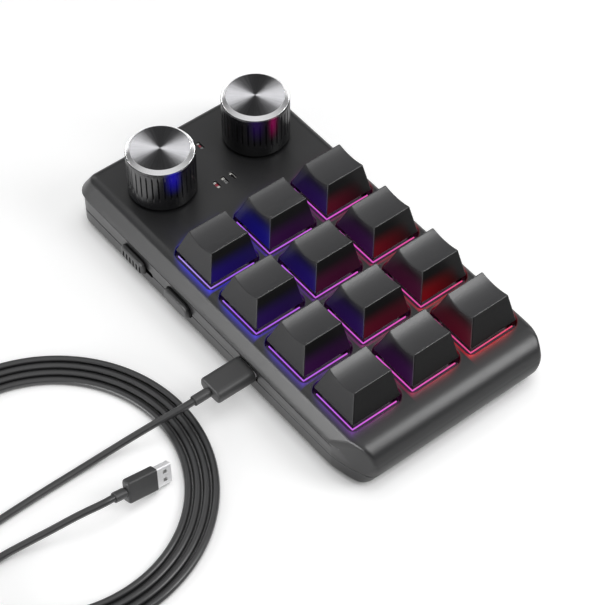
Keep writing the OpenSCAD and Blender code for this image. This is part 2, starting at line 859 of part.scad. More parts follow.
module plug_tongue() {
    color("#f0f0f0") at_plug()
        translate([overmold_a[0] / 2, 0.1, -shell_a[2] / 2 + 0.2])
            cube([shell_a[0] - 0.4, shell_a[1] / 2 - 0.3, shell_a[2] - 0.4]);
}

// ---------- assembly ----------

bottom_shell();
top_cover();
light_guide();
switch_plate();
main_pcb();
controller_chip();
rubber_feet();
case_screws();
switch_housings();
key_leds();
indicator_leds();
indicator_windows();
battery();
usb_socket();
slide_switch_body();
slide_switch_knob();
side_button();
side_button_switch();
usb_c_overmold();
usb_c_shell();
keypad_lead();
cable_coil();
plug_lead();
plug_overmold();
plug_shell();
plug_tongue();
for (i = [0, 1]) {
    side = 2 * i - 1;
    encoder_body(side);
    encoder_rotor(side);
    encoder_shaft(side);
    knob_body(side);
    knob_cap(side);
}
for (k = KEYS) {
    keycap(k);
    key_stem(k);
}
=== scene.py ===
import math

import bmesh
import bpy
import numpy as np
from mathutils import Matrix, Vector


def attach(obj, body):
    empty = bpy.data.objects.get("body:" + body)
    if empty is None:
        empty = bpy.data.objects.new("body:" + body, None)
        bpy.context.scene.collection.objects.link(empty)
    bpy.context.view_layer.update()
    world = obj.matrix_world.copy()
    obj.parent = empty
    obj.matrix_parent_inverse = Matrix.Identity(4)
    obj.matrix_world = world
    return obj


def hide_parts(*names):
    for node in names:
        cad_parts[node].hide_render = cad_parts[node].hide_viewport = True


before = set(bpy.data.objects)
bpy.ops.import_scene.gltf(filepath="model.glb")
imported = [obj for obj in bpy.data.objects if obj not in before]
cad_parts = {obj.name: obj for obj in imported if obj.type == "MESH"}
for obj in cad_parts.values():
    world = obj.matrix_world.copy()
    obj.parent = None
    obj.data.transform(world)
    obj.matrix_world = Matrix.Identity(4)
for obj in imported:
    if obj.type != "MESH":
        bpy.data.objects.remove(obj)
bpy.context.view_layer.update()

# ---- Camera ----
# A long lens looks down on the keypad over its front left corner, level with the horizon and
# with no shift.
MM = 0.001
look_at = Vector((-13.68, -14.60, 20.0)) * MM
camera_distance = 636.22 * MM


def direction(azimuth, elevation):
    """A unit vector; azimuth 0 is in front of the keypad and 90 on its right."""
    a, e = math.radians(azimuth), math.radians(elevation)
    return Vector((math.sin(a) * math.cos(e), -math.cos(a) * math.cos(e), math.sin(e)))


def linked(name, data):
    """A new object in the scene."""
    made = bpy.data.objects.new(name, data)
    bpy.context.scene.collection.objects.link(made)
    return made


def set_up(name, data, azimuth, elevation, distance):
    """A camera or lamp that looks at the keypad from a direction."""
    made = linked(name, data)
    towards = direction(azimuth, elevation)
    made.location = look_at + towards * distance
    made.rotation_mode = "QUATERNION"
    made.rotation_quaternion = towards.to_track_quat("Z", "Y")
    return made


lens = bpy.data.cameras.new("camera")
lens.sensor_width = 36
lens.lens = 126.09
lens.clip_start = 0.01
bpy.context.scene.camera = set_up("camera", lens, azimuth=-38.49, elevation=50.33,
                                  distance=camera_distance)
bpy.context.scene.view_settings.view_transform = "Standard"

# ---- Studio ----
# A pale table with softboxes round it. It glows a little to the eye, so that it reads as white
# and still takes shadows, and it glows more to mirrors on its left, a painted reflection for the
# keypad's left side. Where the keypad and the cord close it in, its colour and its glow are
# painted darker, a painted contact shadow. In mirrors the room's walls are white at their foot
# and dark above it, up to a white ceiling.
WHITE = (1, 1, 1, 1)
greys_by_height = ((0.0, 0.95), (1.0, 1.0), (0.1, 0.12), (0.3, 0.15))
ambient_strength = 0.14
table_half = 1.4
table_drop = 0.02 * MM
contact_reach = 4 * MM


class Wire:
    """A socket of a node tree, on which sums are written as they are on paper."""

    def __init__(self, socket):
        self.socket = socket

    def maths(self, operation, *others, clamp=False):
        made = node(self.socket.id_data, "ShaderNodeMath", self, *others, operation=operation,
                    use_clamp=clamp)
        return Wire(made.outputs[0])

    def __add__(self, other):
        return self.maths("ADD", other)

    def __sub__(self, other):
        return self.maths("SUBTRACT", other)

    def __mul__(self, other):
        return self.maths("MULTIPLY", other)

    def __truediv__(self, other):
        return self.maths("DIVIDE", other)

    def between(self, low, high, out_low=0.0, out_high=1.0, kind="LINEAR"):
        """Taken from one range to another, and clamped."""
        made = node(self.socket.id_data, "ShaderNodeMapRange", self, low, high, out_low, out_high,
                    interpolation_type=kind)
        return Wire(made.outputs[0])

    def smooth(self, low, high, out_low=0.0, out_high=1.0):
        """Taken from one range to another with soft ends."""
        return self.between(low, high, out_low, out_high, "SMOOTHSTEP")

    def ramp(self, *stops):
        """The colour of a ramp whose first two stops are its ends."""
        made = node(self.socket.id_data, "ShaderNodeValToRGB", self)
        elements = made.color_ramp.elements
        for i, (place, colour) in enumerate(stops):
            stop = elements[i] if i < 2 else elements.new(place)
            stop.position = place
            stop.color = (*colour, 1)
        return made.outputs["Color"]

    def axes(self):
        """The three numbers of a vector."""
        parts = node(self.socket.id_data, "ShaderNodeSeparateXYZ", self)
        return [Wire(part) for part in parts.outputs]


def feed(made, *feeds, **settings):
    """Links sockets to a node's inputs, and sets its other inputs and properties."""
    for key, value in [*enumerate(feeds), *settings.items()]:
        label = key.replace("_", " ") if isinstance(key, str) else key
        value = value.socket if isinstance(value, Wire) else value
        if isinstance(label, str) and label not in made.inputs:
            setattr(made, key, value)
        elif isinstance(value, bpy.types.NodeSocket):
            made.id_data.links.new(value, made.inputs[label])
        else:
            made.inputs[label].default_value = value
    return made


def node(tree, kind, *feeds, **settings):
    """A new node of a kind, fed from its first input on and set by name."""
    return feed(tree.nodes.new(kind), *feeds, **settings)


def own_place(tree):
    """Where a point is on the object."""
    return Wire(node(tree, "ShaderNodeTexCoord").outputs["Object"])


def openness(tree, reach):
    """How open the surroundings of a point are, up to a distance: 0 is a closed gap."""
    made = node(tree, "ShaderNodeAmbientOcclusion", samples=8, Distance=reach)
    return Wire(made.outputs["AO"])


def ray_kinds(tree):
    """1 for a ray from the camera, and 1 for one from a mirror or through glass."""
    path = node(tree, "ShaderNodeLightPath")
    mirror = Wire(path.outputs["Is Glossy Ray"])
    return Wire(path.outputs["Is Camera Ray"]), mirror.maths(
        "MAXIMUM", path.outputs["Is Transmission Ray"])


world = bpy.data.worlds.new("studio")
world.use_nodes = True
room = world.node_tree
room.nodes.clear()
camera_ray, mirror_ray = ray_kinds(room)
height = Wire(node(room, "ShaderNodeTexCoord").outputs["Generated"]).axes()[2]
walls = height.ramp(*((place, (grey, grey, grey)) for place, grey in greys_by_height))
ambient, mirrored, plain = (
    node(room, "ShaderNodeBackground", colour, strength).outputs[0]
    for colour, strength in ((WHITE, ambient_strength), (walls, 1.0), (WHITE, 1.0)))
unseen = node(room, "ShaderNodeMixShader", mirror_ray, ambient, mirrored).outputs[0]
every = node(room, "ShaderNodeMixShader", camera_ray, unseen, plain).outputs[0]
node(room, "ShaderNodeOutputWorld", every)
bpy.context.scene.world = world

table_mesh = bpy.data.meshes.new("table_top")
table_mesh.from_pydata([(x * table_half, y * table_half, -table_drop)
                        for x, y in ((-1, -1), (1, -1), (1, 1), (-1, 1))], [], [(0, 1, 2, 3)])
table = linked("table_top", table_mesh)
table_paint = bpy.data.materials.new("table_white")
table_paint.use_nodes = True
tree = table_paint.node_tree
tree.nodes.clear()
camera_ray, mirror_ray = ray_kinds(tree)
spot = own_place(tree)
across, along, _ = spot.axes()
far_off = Wire(node(tree, "ShaderNodeVectorMath", spot, operation="LENGTH").outputs["Value"])
to_mirror = across.between(0.0, -0.06, 0.05, along.between(-0.066, -0.05, 0.0, 0.7))
# Painted contact shadow: where the table is closed in, as at the keypad's foot and between the
# coil's turns, its colour and its glow go dark.
free = openness(tree, contact_reach)
glow = (camera_ray * far_off.between(0.3, 0.75, 0.36, 1.0) + mirror_ray * to_mirror) * free
matte = node(tree, "ShaderNodeBsdfDiffuse", free.ramp((0.2, (0.05, 0.05, 0.05)),
                                                      (0.45, (0.82, 0.82, 0.82))))
shine = node(tree, "ShaderNodeEmission", Strength=glow)
both = node(tree, "ShaderNodeAddShader", matte.outputs[0], shine.outputs[0])
node(tree, "ShaderNodeOutputMaterial", both.outputs[0])
table_mesh.materials.append(table_paint)


def softbox(name, azimuth, elevation, distance, width, tall, power):
    """A square lamp that faces the keypad."""
    lamp = bpy.data.lights.new(name, "AREA")
    lamp.shape = "RECTANGLE"
    lamp.size = width
    lamp.size_y = tall
    lamp.energy = power
    made = set_up(name, lamp, azimuth, elevation, distance)
    made.visible_camera = False
    return made


general_lamps = [softbox(*row) for row in (
    ("ceiling_lamp", 110, 84, 0.9, 0.8, 0.8, 3.3),
    ("front_lamp", 37, 39, 0.58, 0.22, 0.34, 1.5),
    ("left_lamp", -93, 7, 0.9, 0.9, 0.24, 6.3),
    ("rear_lamp", 187, 27, 0.9, 0.26, 0.48, 0.6),
    ("right_lamp", 96, 27, 0.9, 0.26, 0.48, 0.6),
    ("camera_lamp", -40, 46, 0.9, 0.45, 0.35, 0.4))]
general_lamps[0].visible_glossy = False
disc_lamps = [softbox("disc_rear_lamp", 168, 32.4, 0.9, 0.29, 0.53, 25),
              softbox("disc_right_lamp", 118.6, 34, 0.9, 0.45, 0.67, 38)]
cap_lamps = [softbox("cap_lamp", 75, 64, 0.384, 0.08, 0.10, 1.35)]

# ---- Cord ----
# A limp round cable in a black jacket. It leaves the keypad's connector, crosses the coil, winds
# almost four turns side by side, climbs over them and comes back to the far plug.
cord_d = 2.3
collar_end = (-57, -17.3, 9.3)
coil_middle = (-107.3, -12.3)
coil_inner = 40.2
coil_pitch = 2.7
coil_start = math.radians(150)
coil_travel = 3.78 * 2 * math.pi
coil_step = math.radians(6)
shift_span = math.radians(50)
keypad_route = [(-56, -17.3, 9.3), (-57, -17.3, 9.3), (-62, -16.9, 8.8), (-69, -15.4, 7),
                (-77, -13.7, 4.6), (-85, -12.3, 2.4), (-94, -11.6, 1.3), (-110, -11.5, 1.15),
                (-128, -11.8, 1.15)]
into_coil = [(-136, -11.2, 1.15), (-141.8, -7.6, 1.15), (-145.2, -1.4, 1.15)]
over_coil = [(-144.5, -43.5, 3.1), (-146.5, -36, 3.7), (-145, -29, 3.7), (-139.5, -24.3, 2.6)]
plug_route = [(-94, -30, 7.7), (-95, -29.9, 7.8), (-99, -29.7, 8), (-106, -28.1, 7),
              (-114, -26.2, 5), (-122, -24.2, 3), (-130, -22.8, 1.6)]


def coil_points():
    """Level turns, clockwise from the left, each stepping outwards before it passes the start."""
    made = []
    for i in range(round(coil_travel / coil_step) + 1):
        turned_by = i * coil_step
        lap = int(turned_by / (2 * math.pi) + 1e-6)
        into_lap = turned_by - lap * 2 * math.pi
        t = max(0, (into_lap - 2 * math.pi + shift_span) / shift_span) if lap < 3 else 0
        radius = coil_inner + coil_pitch * (0.5 + lap + t * t * (3 - 2 * t))
        angle = coil_start - turned_by
        made.append((coil_middle[0] + radius * math.cos(angle),
                     coil_middle[1] + radius * math.sin(angle), cord_d / 2))
    return made


def laid(points, steps):
    """Points along a smooth curve through the given ones, none of them lower than the table."""
    made = []
    last = len(points) - 1
    for i in range(last):
        a, b, c, d = (np.array(points[max(0, min(last, i + k))], float) for k in (-1, 0, 1, 2))
        for t in np.arange(steps) / steps:
            made.append(b + 0.5 * t * ((c - a) + t * ((2 * a - 5 * b + 4 * c - d)
                                                      + t * (3 * b - a - 3 * c + d))))
    made.append(np.array(points[last], float))
    return [point * (1, 1, 0) + (0, 0, max(point[2], cord_d / 2)) for point in made]


cord_path = laid(keypad_route + into_coil + coil_points() + over_coil + plug_route[::-1],
                 steps=3)
cord_curve = bpy.data.curves.new("cord", "CURVE")
cord_curve.dimensions = "3D"
cord_curve.bevel_depth = cord_d / 2 * MM
cord_curve.bevel_resolution = 4
cord_curve.use_fill_caps = True
strand = cord_curve.splines.new("POLY")
strand.points.add(len(cord_path) - 1)
for point, place in zip(strand.points, cord_path):
    point.co = (*(place * MM), 1)
cord = linked("cord", cord_curve)
cord_length = sum(np.linalg.norm(b - a) for a, b in zip(cord_path, cord_path[1:])) * MM


def group_of(name, inputs, outputs, kind="ShaderNodeTree"):
    """A node group whose sockets are given by value or kind, and what comes in by each."""
    made = bpy.data.node_groups.new(name, kind)
    kinds = {int: "Int", float: "Float", tuple: "Color"}
    for way, sockets in (("INPUT", inputs), ("OUTPUT", outputs)):
        for label, value in sockets.items():
            what = kinds.get(type(value), value)
            socket = made.interface.new_socket(label, in_out=way, socket_type="NodeSocket" + what)
            if what != value:
                socket.default_value = value
    come_in = node(made, "NodeGroupInput").outputs
    return made, {label: Wire(come_in[label]) for label in inputs}


def multiplied(colour, other, share=1.0):
    """A colour multiplied by another one, in full or in part."""
    tree = colour.id_data
    made = node(tree, "ShaderNodeMix", share, data_type="RGBA", blend_type="MULTIPLY")
    tree.links.new(colour, made.inputs[6])
    tree.links.new(other.socket, made.inputs[7])
    return made.outputs[2]


# Moulded and cast surfaces: a fine grain that the tool left, slow clouds in the colour and the
# gloss, faint touch marks, and a painted shade that darkens the colour in gaps and recesses.
gap_shade_reach = 9 * MM
surface, take = group_of("moulded_surface", {
    "Color": (0.5, 0.5, 0.5, 1), "Roughness": 0.5, "Grain": 3500.0, "Clouds": 0.1, "Marks": 0.04,
    "Gaps": 0.0}, {"Color": "Color", "Roughness": "Float", "Height": "Float"})
spot = own_place(surface)
grain, cloud, marks = (
    Wire(node(surface, "ShaderNodeTexNoise", spot, Scale=scale, Detail=detail,
              Distortion=bend).outputs["Fac"])
    for scale, detail, bend in ((take["Grain"], 2.0, 0.0), (90.0, 3.0, 0.0), (260.0, 5.0, 1.2)))
cloudy = multiplied(take["Color"].socket, cloud.between(0.0, 1.0, take["Clouds"] * -1.0 + 1.0))
# Painted shade: the colour is multiplied down where the surroundings close in, so gaps and
# recesses read darker.
gap_shaded = multiplied(cloudy, openness(surface, gap_shade_reach), take["Gaps"])
node(surface, "NodeGroupOutput", gap_shaded, (marks - 0.5) * take["Marks"] + take["Roughness"], grain)


def finish(name, colour, roughness, grain=0.3, clouds=0.12, marks=0.06, bump=0.02, gaps=0.0,
           **plain):
    """A material on the moulded surface: its colour, gloss and grain, and plain shader values."""
    made = bpy.data.materials.new(name)
    made.use_nodes = True
    tree = made.node_tree
    texture = node(tree, "ShaderNodeGroup", node_tree=surface, Color=(*colour, 1), Clouds=clouds,
                   Roughness=roughness, Grain=1 / (grain * MM), Marks=marks, Gaps=gaps).outputs
    relief = node(tree, "ShaderNodeBump", Strength=1.0, Distance=bump * MM,
                  Height=texture["Height"])
    feed(tree.nodes["Principled BSDF"], Base_Color=texture["Color"],
         Roughness=texture["Roughness"], Normal=relief.outputs[0], **plain)
    return made


cord_black = finish("cord_black", (0.018, 0.018, 0.019), 0.36, grain=0.35, bump=0.008,
                    Specular_IOR_Level=0.8)
cord_curve.materials.append(cord_black)
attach(cord, "case")
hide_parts("keypad_lead", "cable_coil", "plug_lead")

# ---- Keypad connector ----
# The overmould of the plug in the keypad's side: a soft-edged black block with a short collar
# that the cord comes out of, moulded in one shot round the steel shell.
wall_x = 37.1
connector_size = (13.4, 9.6, 5.2)
connector_gap = 0.5
collar_r = 1.65
collar_bore = 1.3


def ring_of(radius, steps=64, middle=(0, 0), start=0.0, sweep=2 * math.pi, ends=0):
    """Points on a circle or an arc."""
    return [(middle[0] + radius * math.cos(start + sweep * i / steps),
             middle[1] + radius * math.sin(start + sweep * i / steps))
            for i in range(steps + ends)]


def rounded_rect(width, tall, radius, steps=8):
    """A rectangle with round corners, counterclockwise round the origin."""
    made = []
    for i, (x, y) in enumerate(((1, 1), (-1, 1), (-1, -1), (1, -1))):
        middle = (x * (width / 2 - radius), y * (tall / 2 - radius))
        made += ring_of(radius, steps, middle, math.pi / 2 * i, math.pi / 2, 1)
    return made


def walled(made, rings):
    """Rows of faces between rings of like points. It returns the rings' corners."""
    corners = [[made.verts.new(p) for p in ring] for ring in rings]
    for lower, upper in zip(corners, corners[1:]):
        for i in range(len(lower)):
            made.faces.new((lower[i - 1], lower[i], upper[i], upper[i - 1]))
    return corners


def as_mesh(name, made):
    """A mesh whose doubles are merged and whose faces all point outwards."""
    bmesh.ops.remove_doubles(made, verts=made.verts, dist=1e-5)
    bmesh.ops.recalc_face_normals(made, faces=made.faces)
    mesh = bpy.data.meshes.new(name)
    made.to_mesh(mesh)
    made.free()
    return mesh


def loft(name, rings):
    """A closed mesh through rings of like points: with flat ends, or back to the first ring."""
    made = bmesh.new()
    corners = walled(made, rings)
    if rings[0] != rings[-1]:
        made.faces.new(corners[0][::-1])
        made.faces.new(corners[-1])
    return as_mesh(name, made)


def turned(name, profile, steps=64, place=(0, 0, 0)):
    """A turned part: a profile of radius and height, spun round a vertical axis."""
    return loft(name, [[(x, y, place[2] + z) for x, y in ring_of(r, steps, place)]
                       for r, z in profile])


def evaluated(body):
    """The plain mesh that an object's modifiers make. The object is removed."""
    mesh = bpy.data.meshes.new_from_object(body.evaluated_get(
        bpy.context.evaluated_depsgraph_get()))
    bpy.data.objects.remove(body)
    return mesh


def carve(mesh, *cutters, operation="DIFFERENCE"):
    """The mesh with the cutters taken away, or joined."""
    body = linked("carved", mesh)
    tools = [linked("cutter", cutter) for cutter in cutters]
    for tool in tools:
        step = body.modifiers.new("cut", "BOOLEAN")
        step.object = tool
        step.operation = operation
        step.solver = "MANIFOLD"
    result = evaluated(body)
    for tool in tools:
        bpy.data.objects.remove(tool)
    return result


def piece(name, mesh, material, body, *replaced, slot=None, sharp=35):
    """A finished piece in metres: its shading, its body and what it replaces. The slot that it is
    given is not used."""
    mesh.materials.clear()
    mesh.materials.append(material)
    mesh.polygons.foreach_set("material_index", [0] * len(mesh.polygons))
    mesh.polygons.foreach_set("use_smooth", [True] * len(mesh.polygons))
    mesh.transform(Matrix.Scale(MM, 4))
    mesh.set_sharp_from_angle(angle=math.radians(sharp))
    blank = linked("blank", mesh)
    blank.modifiers.new("shading", "WEIGHTED_NORMAL").keep_sharp = True
    made = linked(name, evaluated(blank))
    made.data.name = name
    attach(made, body)
    if replaced:
        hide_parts(*replaced)
    return made


def along_x(size, radius, steps, y, z, *sections):
    """Round-cornered sections across the X axis, each at an x and drawn in by an inset."""
    return [[(x, y + py * (1 - 2 * inset / size[0]), z + pz * (1 - 2 * inset / size[1]))
             for py, pz in rounded_rect(*size, radius, steps)] for x, inset in sections]


connector_x = -wall_x - connector_gap
connector_block = loft("connector", along_x(connector_size[1:], 2.25, 10, *collar_end[1:], *(
    (connector_x - back, inset) for back, inset in (
        (-0.36, 0.3), (-0.28, 0.1), (0, 0), (12.7, 0), (13.1, 0.12), (13.32, 0.4), (13.4, 0.8)))))


def collar(length, root_groove=0.45):
    """The collar that the cord leaves, along Z from its root: a step, a barrel and a bore."""
    return turned("collar", [
        (0, -0.6), (collar_r - 0.35, -0.6), (collar_r - 0.35, root_groove),
        (collar_r - 0.1, root_groove + 0.05), (collar_r, root_groove + 0.2),
        (collar_r, length - 0.2), (collar_r - 0.06, length - 0.06), (collar_r - 0.2, length),
        (collar_bore, length), (collar_bore, length - 1.2), (0, length - 1.2)], 40)


def move(mesh, matrix):
    mesh.transform(matrix)
    return mesh


root_x = connector_x - connector_size[0]
backwards = Matrix.Rotation(-math.pi / 2, 4, "Y")
connector_collar = move(collar(root_x - collar_end[0]),
                        Matrix.Translation((root_x, *collar_end[1:])) @ backwards)
plug_black = finish("plug_black", (0.05, 0.05, 0.051), 0.42, grain=0.25, bump=0.012)
connector = piece("connector_overmould",
                  carve(connector_block, connector_collar, operation="UNION"),
                  plug_black, "case", "usb_c_overmold", slot="cord_black")

# ---- Keypad connector's steel ----
# The drawn steel shell of the connector, pressed into the overmould. It is all in the case's
# socket, and only its root shows in the gap before the wall.
plug_steel = finish("plug_steel", (0.95, 0.95, 0.96), 0.3, grain=0.6, clouds=0.06, marks=0.08,
                    bump=0.002, Metallic=0.2)


def dress(node_name, material):
    """A finish on one of the drawn solids, which keeps its shape."""
    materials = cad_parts[node_name].data.materials
    materials.clear()
    materials.append(material)


dress("usb_c_shell", plug_steel)

# ---- Far plug ----
# A small upright plug: a black overmould with a collar, a bright drawn shell with two latch
# windows and a white tongue inside.
plug_middle = (-85.5, -29.7, 5.7)
plug_turn = (-19, 12.4, 1.3)
plug_size = (10.6, 3.4, 7.3)
plug_collar = 4.2
shell_size = (5.3, 2.4, 6.5)
shell_skin = 0.2
tongue_size = (0.9, 6.0)
window = (1.3, 1.2)
window_z = 1.35
window_back = 3.0
at_plug = Matrix.Translation(plug_middle)
for turn, axis in zip(reversed(plug_turn), "ZYX"):
    at_plug = at_plug @ Matrix.Rotation(math.radians(turn), 4, axis)
plug_block = loft("plug_block", along_x(
    plug_size[1:], 0.7, 6, 0, 0, (-5.3, 0.75), (-5.2, 0.4), (-4.9, 0.12), (-4.5, 0), (5.0, 0),
    (5.2, 0.06), (5.3, 0.25)))
plug_barrel = move(collar(plug_collar),
                   Matrix.Translation((-plug_size[0] / 2, 0, 0)) @ backwards)
plug_overmould = piece("far_plug_overmould",
                       move(carve(plug_block, plug_barrel, operation="UNION"), at_plug),
                       plug_black, "case", "plug_overmold", slot="cord_black")

mouth = plug_size[0] / 2 + shell_size[0]
root = plug_size[0] / 2 - 2.5
shell_bore = [length - 2 * shell_skin for length in shell_size[1:]]
shell_mesh = loft("shell", [
    *along_x(shell_size[1:], 0.45, 5, 0, 0, (root, 0), (mouth - 0.08, 0), (mouth, 0.06)),
    *along_x(shell_bore, 0.3, 5, 0, 0, (mouth, 0), (root + 2.4, 0))])


def bar(name, ends, corners):
    """A straight bar between two ends, with its corners placed by what the ends give."""
    return loft(name, [[corners(end, u, v) for u, v in ((-1, -1), (1, -1), (1, 1), (-1, 1))]
                       for end in ends])


window_x = mouth - window_back + window[0] / 2
windows = [bar("window", (-3, 3), lambda y, u, v, z=z: (
    window_x + u * window[0] / 2, y, z + v * window[1] / 2)) for z in (-window_z, window_z)]
plug_shell = piece("far_plug_shell", move(carve(shell_mesh, *windows), at_plug), plug_steel,
                   "case", "plug_shell")

tongue_white = finish("tongue_white", (0.78, 0.78, 0.76), 0.4, bump=0.004)
tongue = loft("tongue", along_x(tongue_size, 0.1, 2, 0.52, 0, (5.2, 0), (mouth - 0.5, 0),
                                (mouth - 0.4, 0.08)))
plug_tongue = piece("far_plug_tongue", move(tongue, at_plug), tongue_white, "case",
                    "plug_tongue")

# ---- Top cover ----
# The upper half of the case, moulded in satin black. Round the sides and the rear it has a sloped
# band that overhangs a groove; its front is a half round, and facets cut the front corners.
half_w = 37.7
half_l = 71.9
case_h = 20.0
band_z = 14.0
band_slope = 3.8 / 6
band_tilt = math.cos(math.atan(band_slope))
overhang = 0.6
groove_in = 1.05
groove_top = band_z - 0.3
groove_low = band_z - 1.7
front_r = 8.6
rear_r = 6.0
crease_r = 1.5
facet_a = math.radians(19.86)
facet_y = -half_l + 14.1
facet_d = math.cos(facet_a) * (half_w - overhang) - math.sin(facet_a) * facet_y
arc_y = -half_l + front_r
arc_z = case_h - front_r
skin = 2.0
seam_z = 7.0
seam_half = 0.15
spine = (22.0, 56.5)
spine_z = 10.0


def round_meet(a, b, r):
    """The distance to where two surfaces meet in an edge of radius r."""
    near = (a > -r) & (b > -r)
    return np.where(near, np.hypot(np.maximum(a + r, 0), np.maximum(b + r, 0)) - r,
                    np.maximum(a, b))


def past_facet(x, y):
    return math.cos(facet_a) * np.abs(x) - math.sin(facet_a) * y - facet_d


def outside_cover(x, y, z, inset):
    """Roughly how far a point is outside the cover, whose side wall is drawn in by inset."""
    if inset > overhang:
        inset = overhang + (inset - overhang) * np.clip((y - facet_y) / 4, 0, 1)
    run = np.clip(z - band_z, 0, None) * band_slope
    side = np.abs(x) - (half_w - inset - run)
    rear = y - (half_l - inset - run)
    walls = round_meet(side, rear, np.maximum(rear_r - inset - run, 0.5))
    walls = np.where(run > 0, walls * band_tilt, walls)
    top = np.where(y < arc_y, np.hypot(y - arc_y, z - arc_z) - front_r, z - case_h)
    facet_r = 2.4 - 1.6 * np.clip((z - 9) / 5, 0, 1)
    return round_meet(round_meet(walls, top, crease_r), past_facet(x, y), facet_r)


def inner_cover(x, y, z):
    return outside_cover(x, y, z, overhang) + skin


def drawn_in(inset):
    return lambda x, y, z: outside_cover(x, y, z, inset)


# A ray to the outside leaves the spine at each of these stands, and they fan round its corners.
stands, ways = [], []
for i, (sx, sy, steps) in enumerate(((1, -1, 64), (1, 1, 24), (-1, 1, 24), (-1, -1, 64))):
    for s in range(steps + 1):
        a = math.pi / 2 * (i - 1 + s / steps)
        stands.append((sx * spine[0], sy * spine[1]))
        ways.append((math.cos(a), math.sin(a)))
stands = np.array(stands)
ways = np.array(ways)


def at_height(z, points=stands):
    return np.column_stack([points, np.full(len(points), z)])


def reach(outside, start, way, far=60.0, halvings=40):
    """Where rays from inside meet the surface that a distance function gives."""
    near, past = np.zeros(len(start)), np.full(len(start), far)
    for _ in range(halvings):
        middle = (near + past) / 2
        out_there = outside(*(start + way * middle[:, None]).T) > 0
        past = np.where(out_there, middle, past)
        near = np.where(out_there, near, middle)
    return start + way * near[:, None]


def level_ring(z, outside):
    """A ring at one height."""
    return reach(outside, at_height(z), at_height(0, ways))


def dome_rings(first, outside, steps):
    """Rings from one at the foot of a dome up to the spine's own outline on top."""
    foot = np.arctan2(first[:, 2] - spine_z, np.linalg.norm(first[:, :2] - stands, axis=1))
    made = []
    for s in range(1, steps + 1):
        angle = foot + (math.pi / 2 - foot) * s / steps
        way = np.column_stack([ways * np.cos(angle)[:, None], np.sin(angle)])
        made.append(reach(outside, at_height(spine_z), way))
    return made


def skinned(name, rings):
    return loft(name, [[tuple(p) for p in ring] for ring in rings])


rings = [level_ring(z, drawn_in(inset)) for z, inset in (
    (seam_z + seam_half, overhang + 0.15), (seam_z + seam_half + 0.15, overhang),
    *((z, overhang) for z in np.arange(7.8, groove_low - 0.2, 0.5)),
    (groove_low - 0.05, overhang), (groove_low, overhang + 0.08), (groove_low + 0.02, groove_in),
    (groove_top - 0.02, groove_in), (groove_top, 0.16), (groove_top + 0.08, 0.04),
    (band_z - 0.1, 0), (band_z, 0))]
rings += dome_rings(rings[-1], drawn_in(0), 80)
inner_foot = level_ring(spine_z, inner_cover)
inner_rings = [level_ring(seam_z + seam_half, inner_cover), inner_foot,
               *dome_rings(inner_foot, inner_cover, 24)]
cover_shell = skinned("cover_shell", inner_rings[::-1] + rings)

key_pitch = 22.5
key_hole = 20.8
key_block_y = -17.3
knob_pitch = 37.1
knob_y = 49.9
shaft_hole_r = 3.8
slots = [(-4.75, 40), (-1.6, 40), (1.6, 40), (1.3, 56.9)]
slot_size = (1.35, 3.25)
port_y, port_z = collar_end[1:]
side_z = 7.7
button_y = 17.2
top_cut = 6.0
side_cut = 4.2
keys = {f"{'abc'[c]}{r + 1}": ((c - 1) * key_pitch, key_block_y + (1.5 - r) * key_pitch)
        for c in range(3) for r in range(4)}


def rounded_hole(outline, flare, deep, place):
    """A cutter whose mouth is rounded over. place puts a point, from its depth and outline."""
    wide, tall = (max(abs(p[k]) for p in outline) for k in (0, 1))
    return loft("hole", [
        [place(depth, u * (1 + wider / wide), v * (1 + wider / tall)) for u, v in outline]
        for depth, wider in ((-3, flare), (0, flare), (flare * 0.08, flare * 0.6),
                             (flare * 0.3, flare * 0.3), (flare * 0.6, flare * 0.08),
                             (flare, 0), (deep, 0))])


def top_hole(outline, x, y, flare=0.3):
    return rounded_hole(outline, flare, top_cut,
                        lambda depth, u, v: (x + u, y + v, case_h - depth))


def side_hole(size, radius, steps, y, z, flare=0.25):
    face = -half_w + overhang
    return rounded_hole(rounded_rect(*size, radius, steps), flare, side_cut,
                        lambda depth, u, v: (face + depth, y + u, z + v))


def side_holes():
    """The slider's slot, the button's hole, and the port with the square foot of its mouth."""
    return [side_hole((14.6, 2.0), 0.9, 8, 38.35, seam_z),
            side_hole((13.2, 6.5), 3.2, 12, button_y, side_z),
            side_hole((9.5, 3.8), 1.85, 10, port_y, port_z, 0.06),
            side_hole((9.5, 2.4), 0.2, 2, port_y, port_z - 1.2, 0.06)]


# The square opening round a key is rounder at the two corners where no rim runs.
opening = []
for i, (sx, sy, r) in enumerate(((1, -1, 4.2), (1, 1, 2.0), (-1, 1, 4.2), (-1, -1, 2.0))):
    middle = (sx * (key_hole / 2 - r), sy * (key_hole / 2 - r))
    opening += ring_of(r, 8, middle, math.pi / 2 * (i - 1), math.pi / 2, 1)
holes = [top_hole(opening, x, y) for x, y in keys.values()]
holes += [top_hole(ring_of(shaft_hole_r), side * knob_pitch / 2, knob_y) for side in (-1, 1)]
holes += [top_hole(rounded_rect(*slot_size, 0.3, 3), x, y, 0.12) for x, y in slots]
case_black = finish("case_black", (0.017, 0.017, 0.018), 0.33, grain=0.28, bump=0.014,
                    gaps=1.0, Specular_IOR_Level=0.6)
piece("top_cover_shell", carve(cover_shell, *holes, *side_holes()), case_black, "case",
      "top_cover", sharp=40)

# ---- Bottom shell ----
# The lower half, moulded in the same black: a tray with a chamfered foot that meets the cover in
# a fine seam. It has sunk holes for the screws and shallow seats for the feet.
floor_z = 1.0
foot_chamfer = 1.3
front_edge_r = 2.6
front_wall = half_l - 5.6
screws = [(side * x, y) for x, y in ((30.3, 64), (26, 31), (27, -65)) for side in (-1, 1)]
feet = [(x, y) for x in (-28, 28) for y in (-57, 57)]


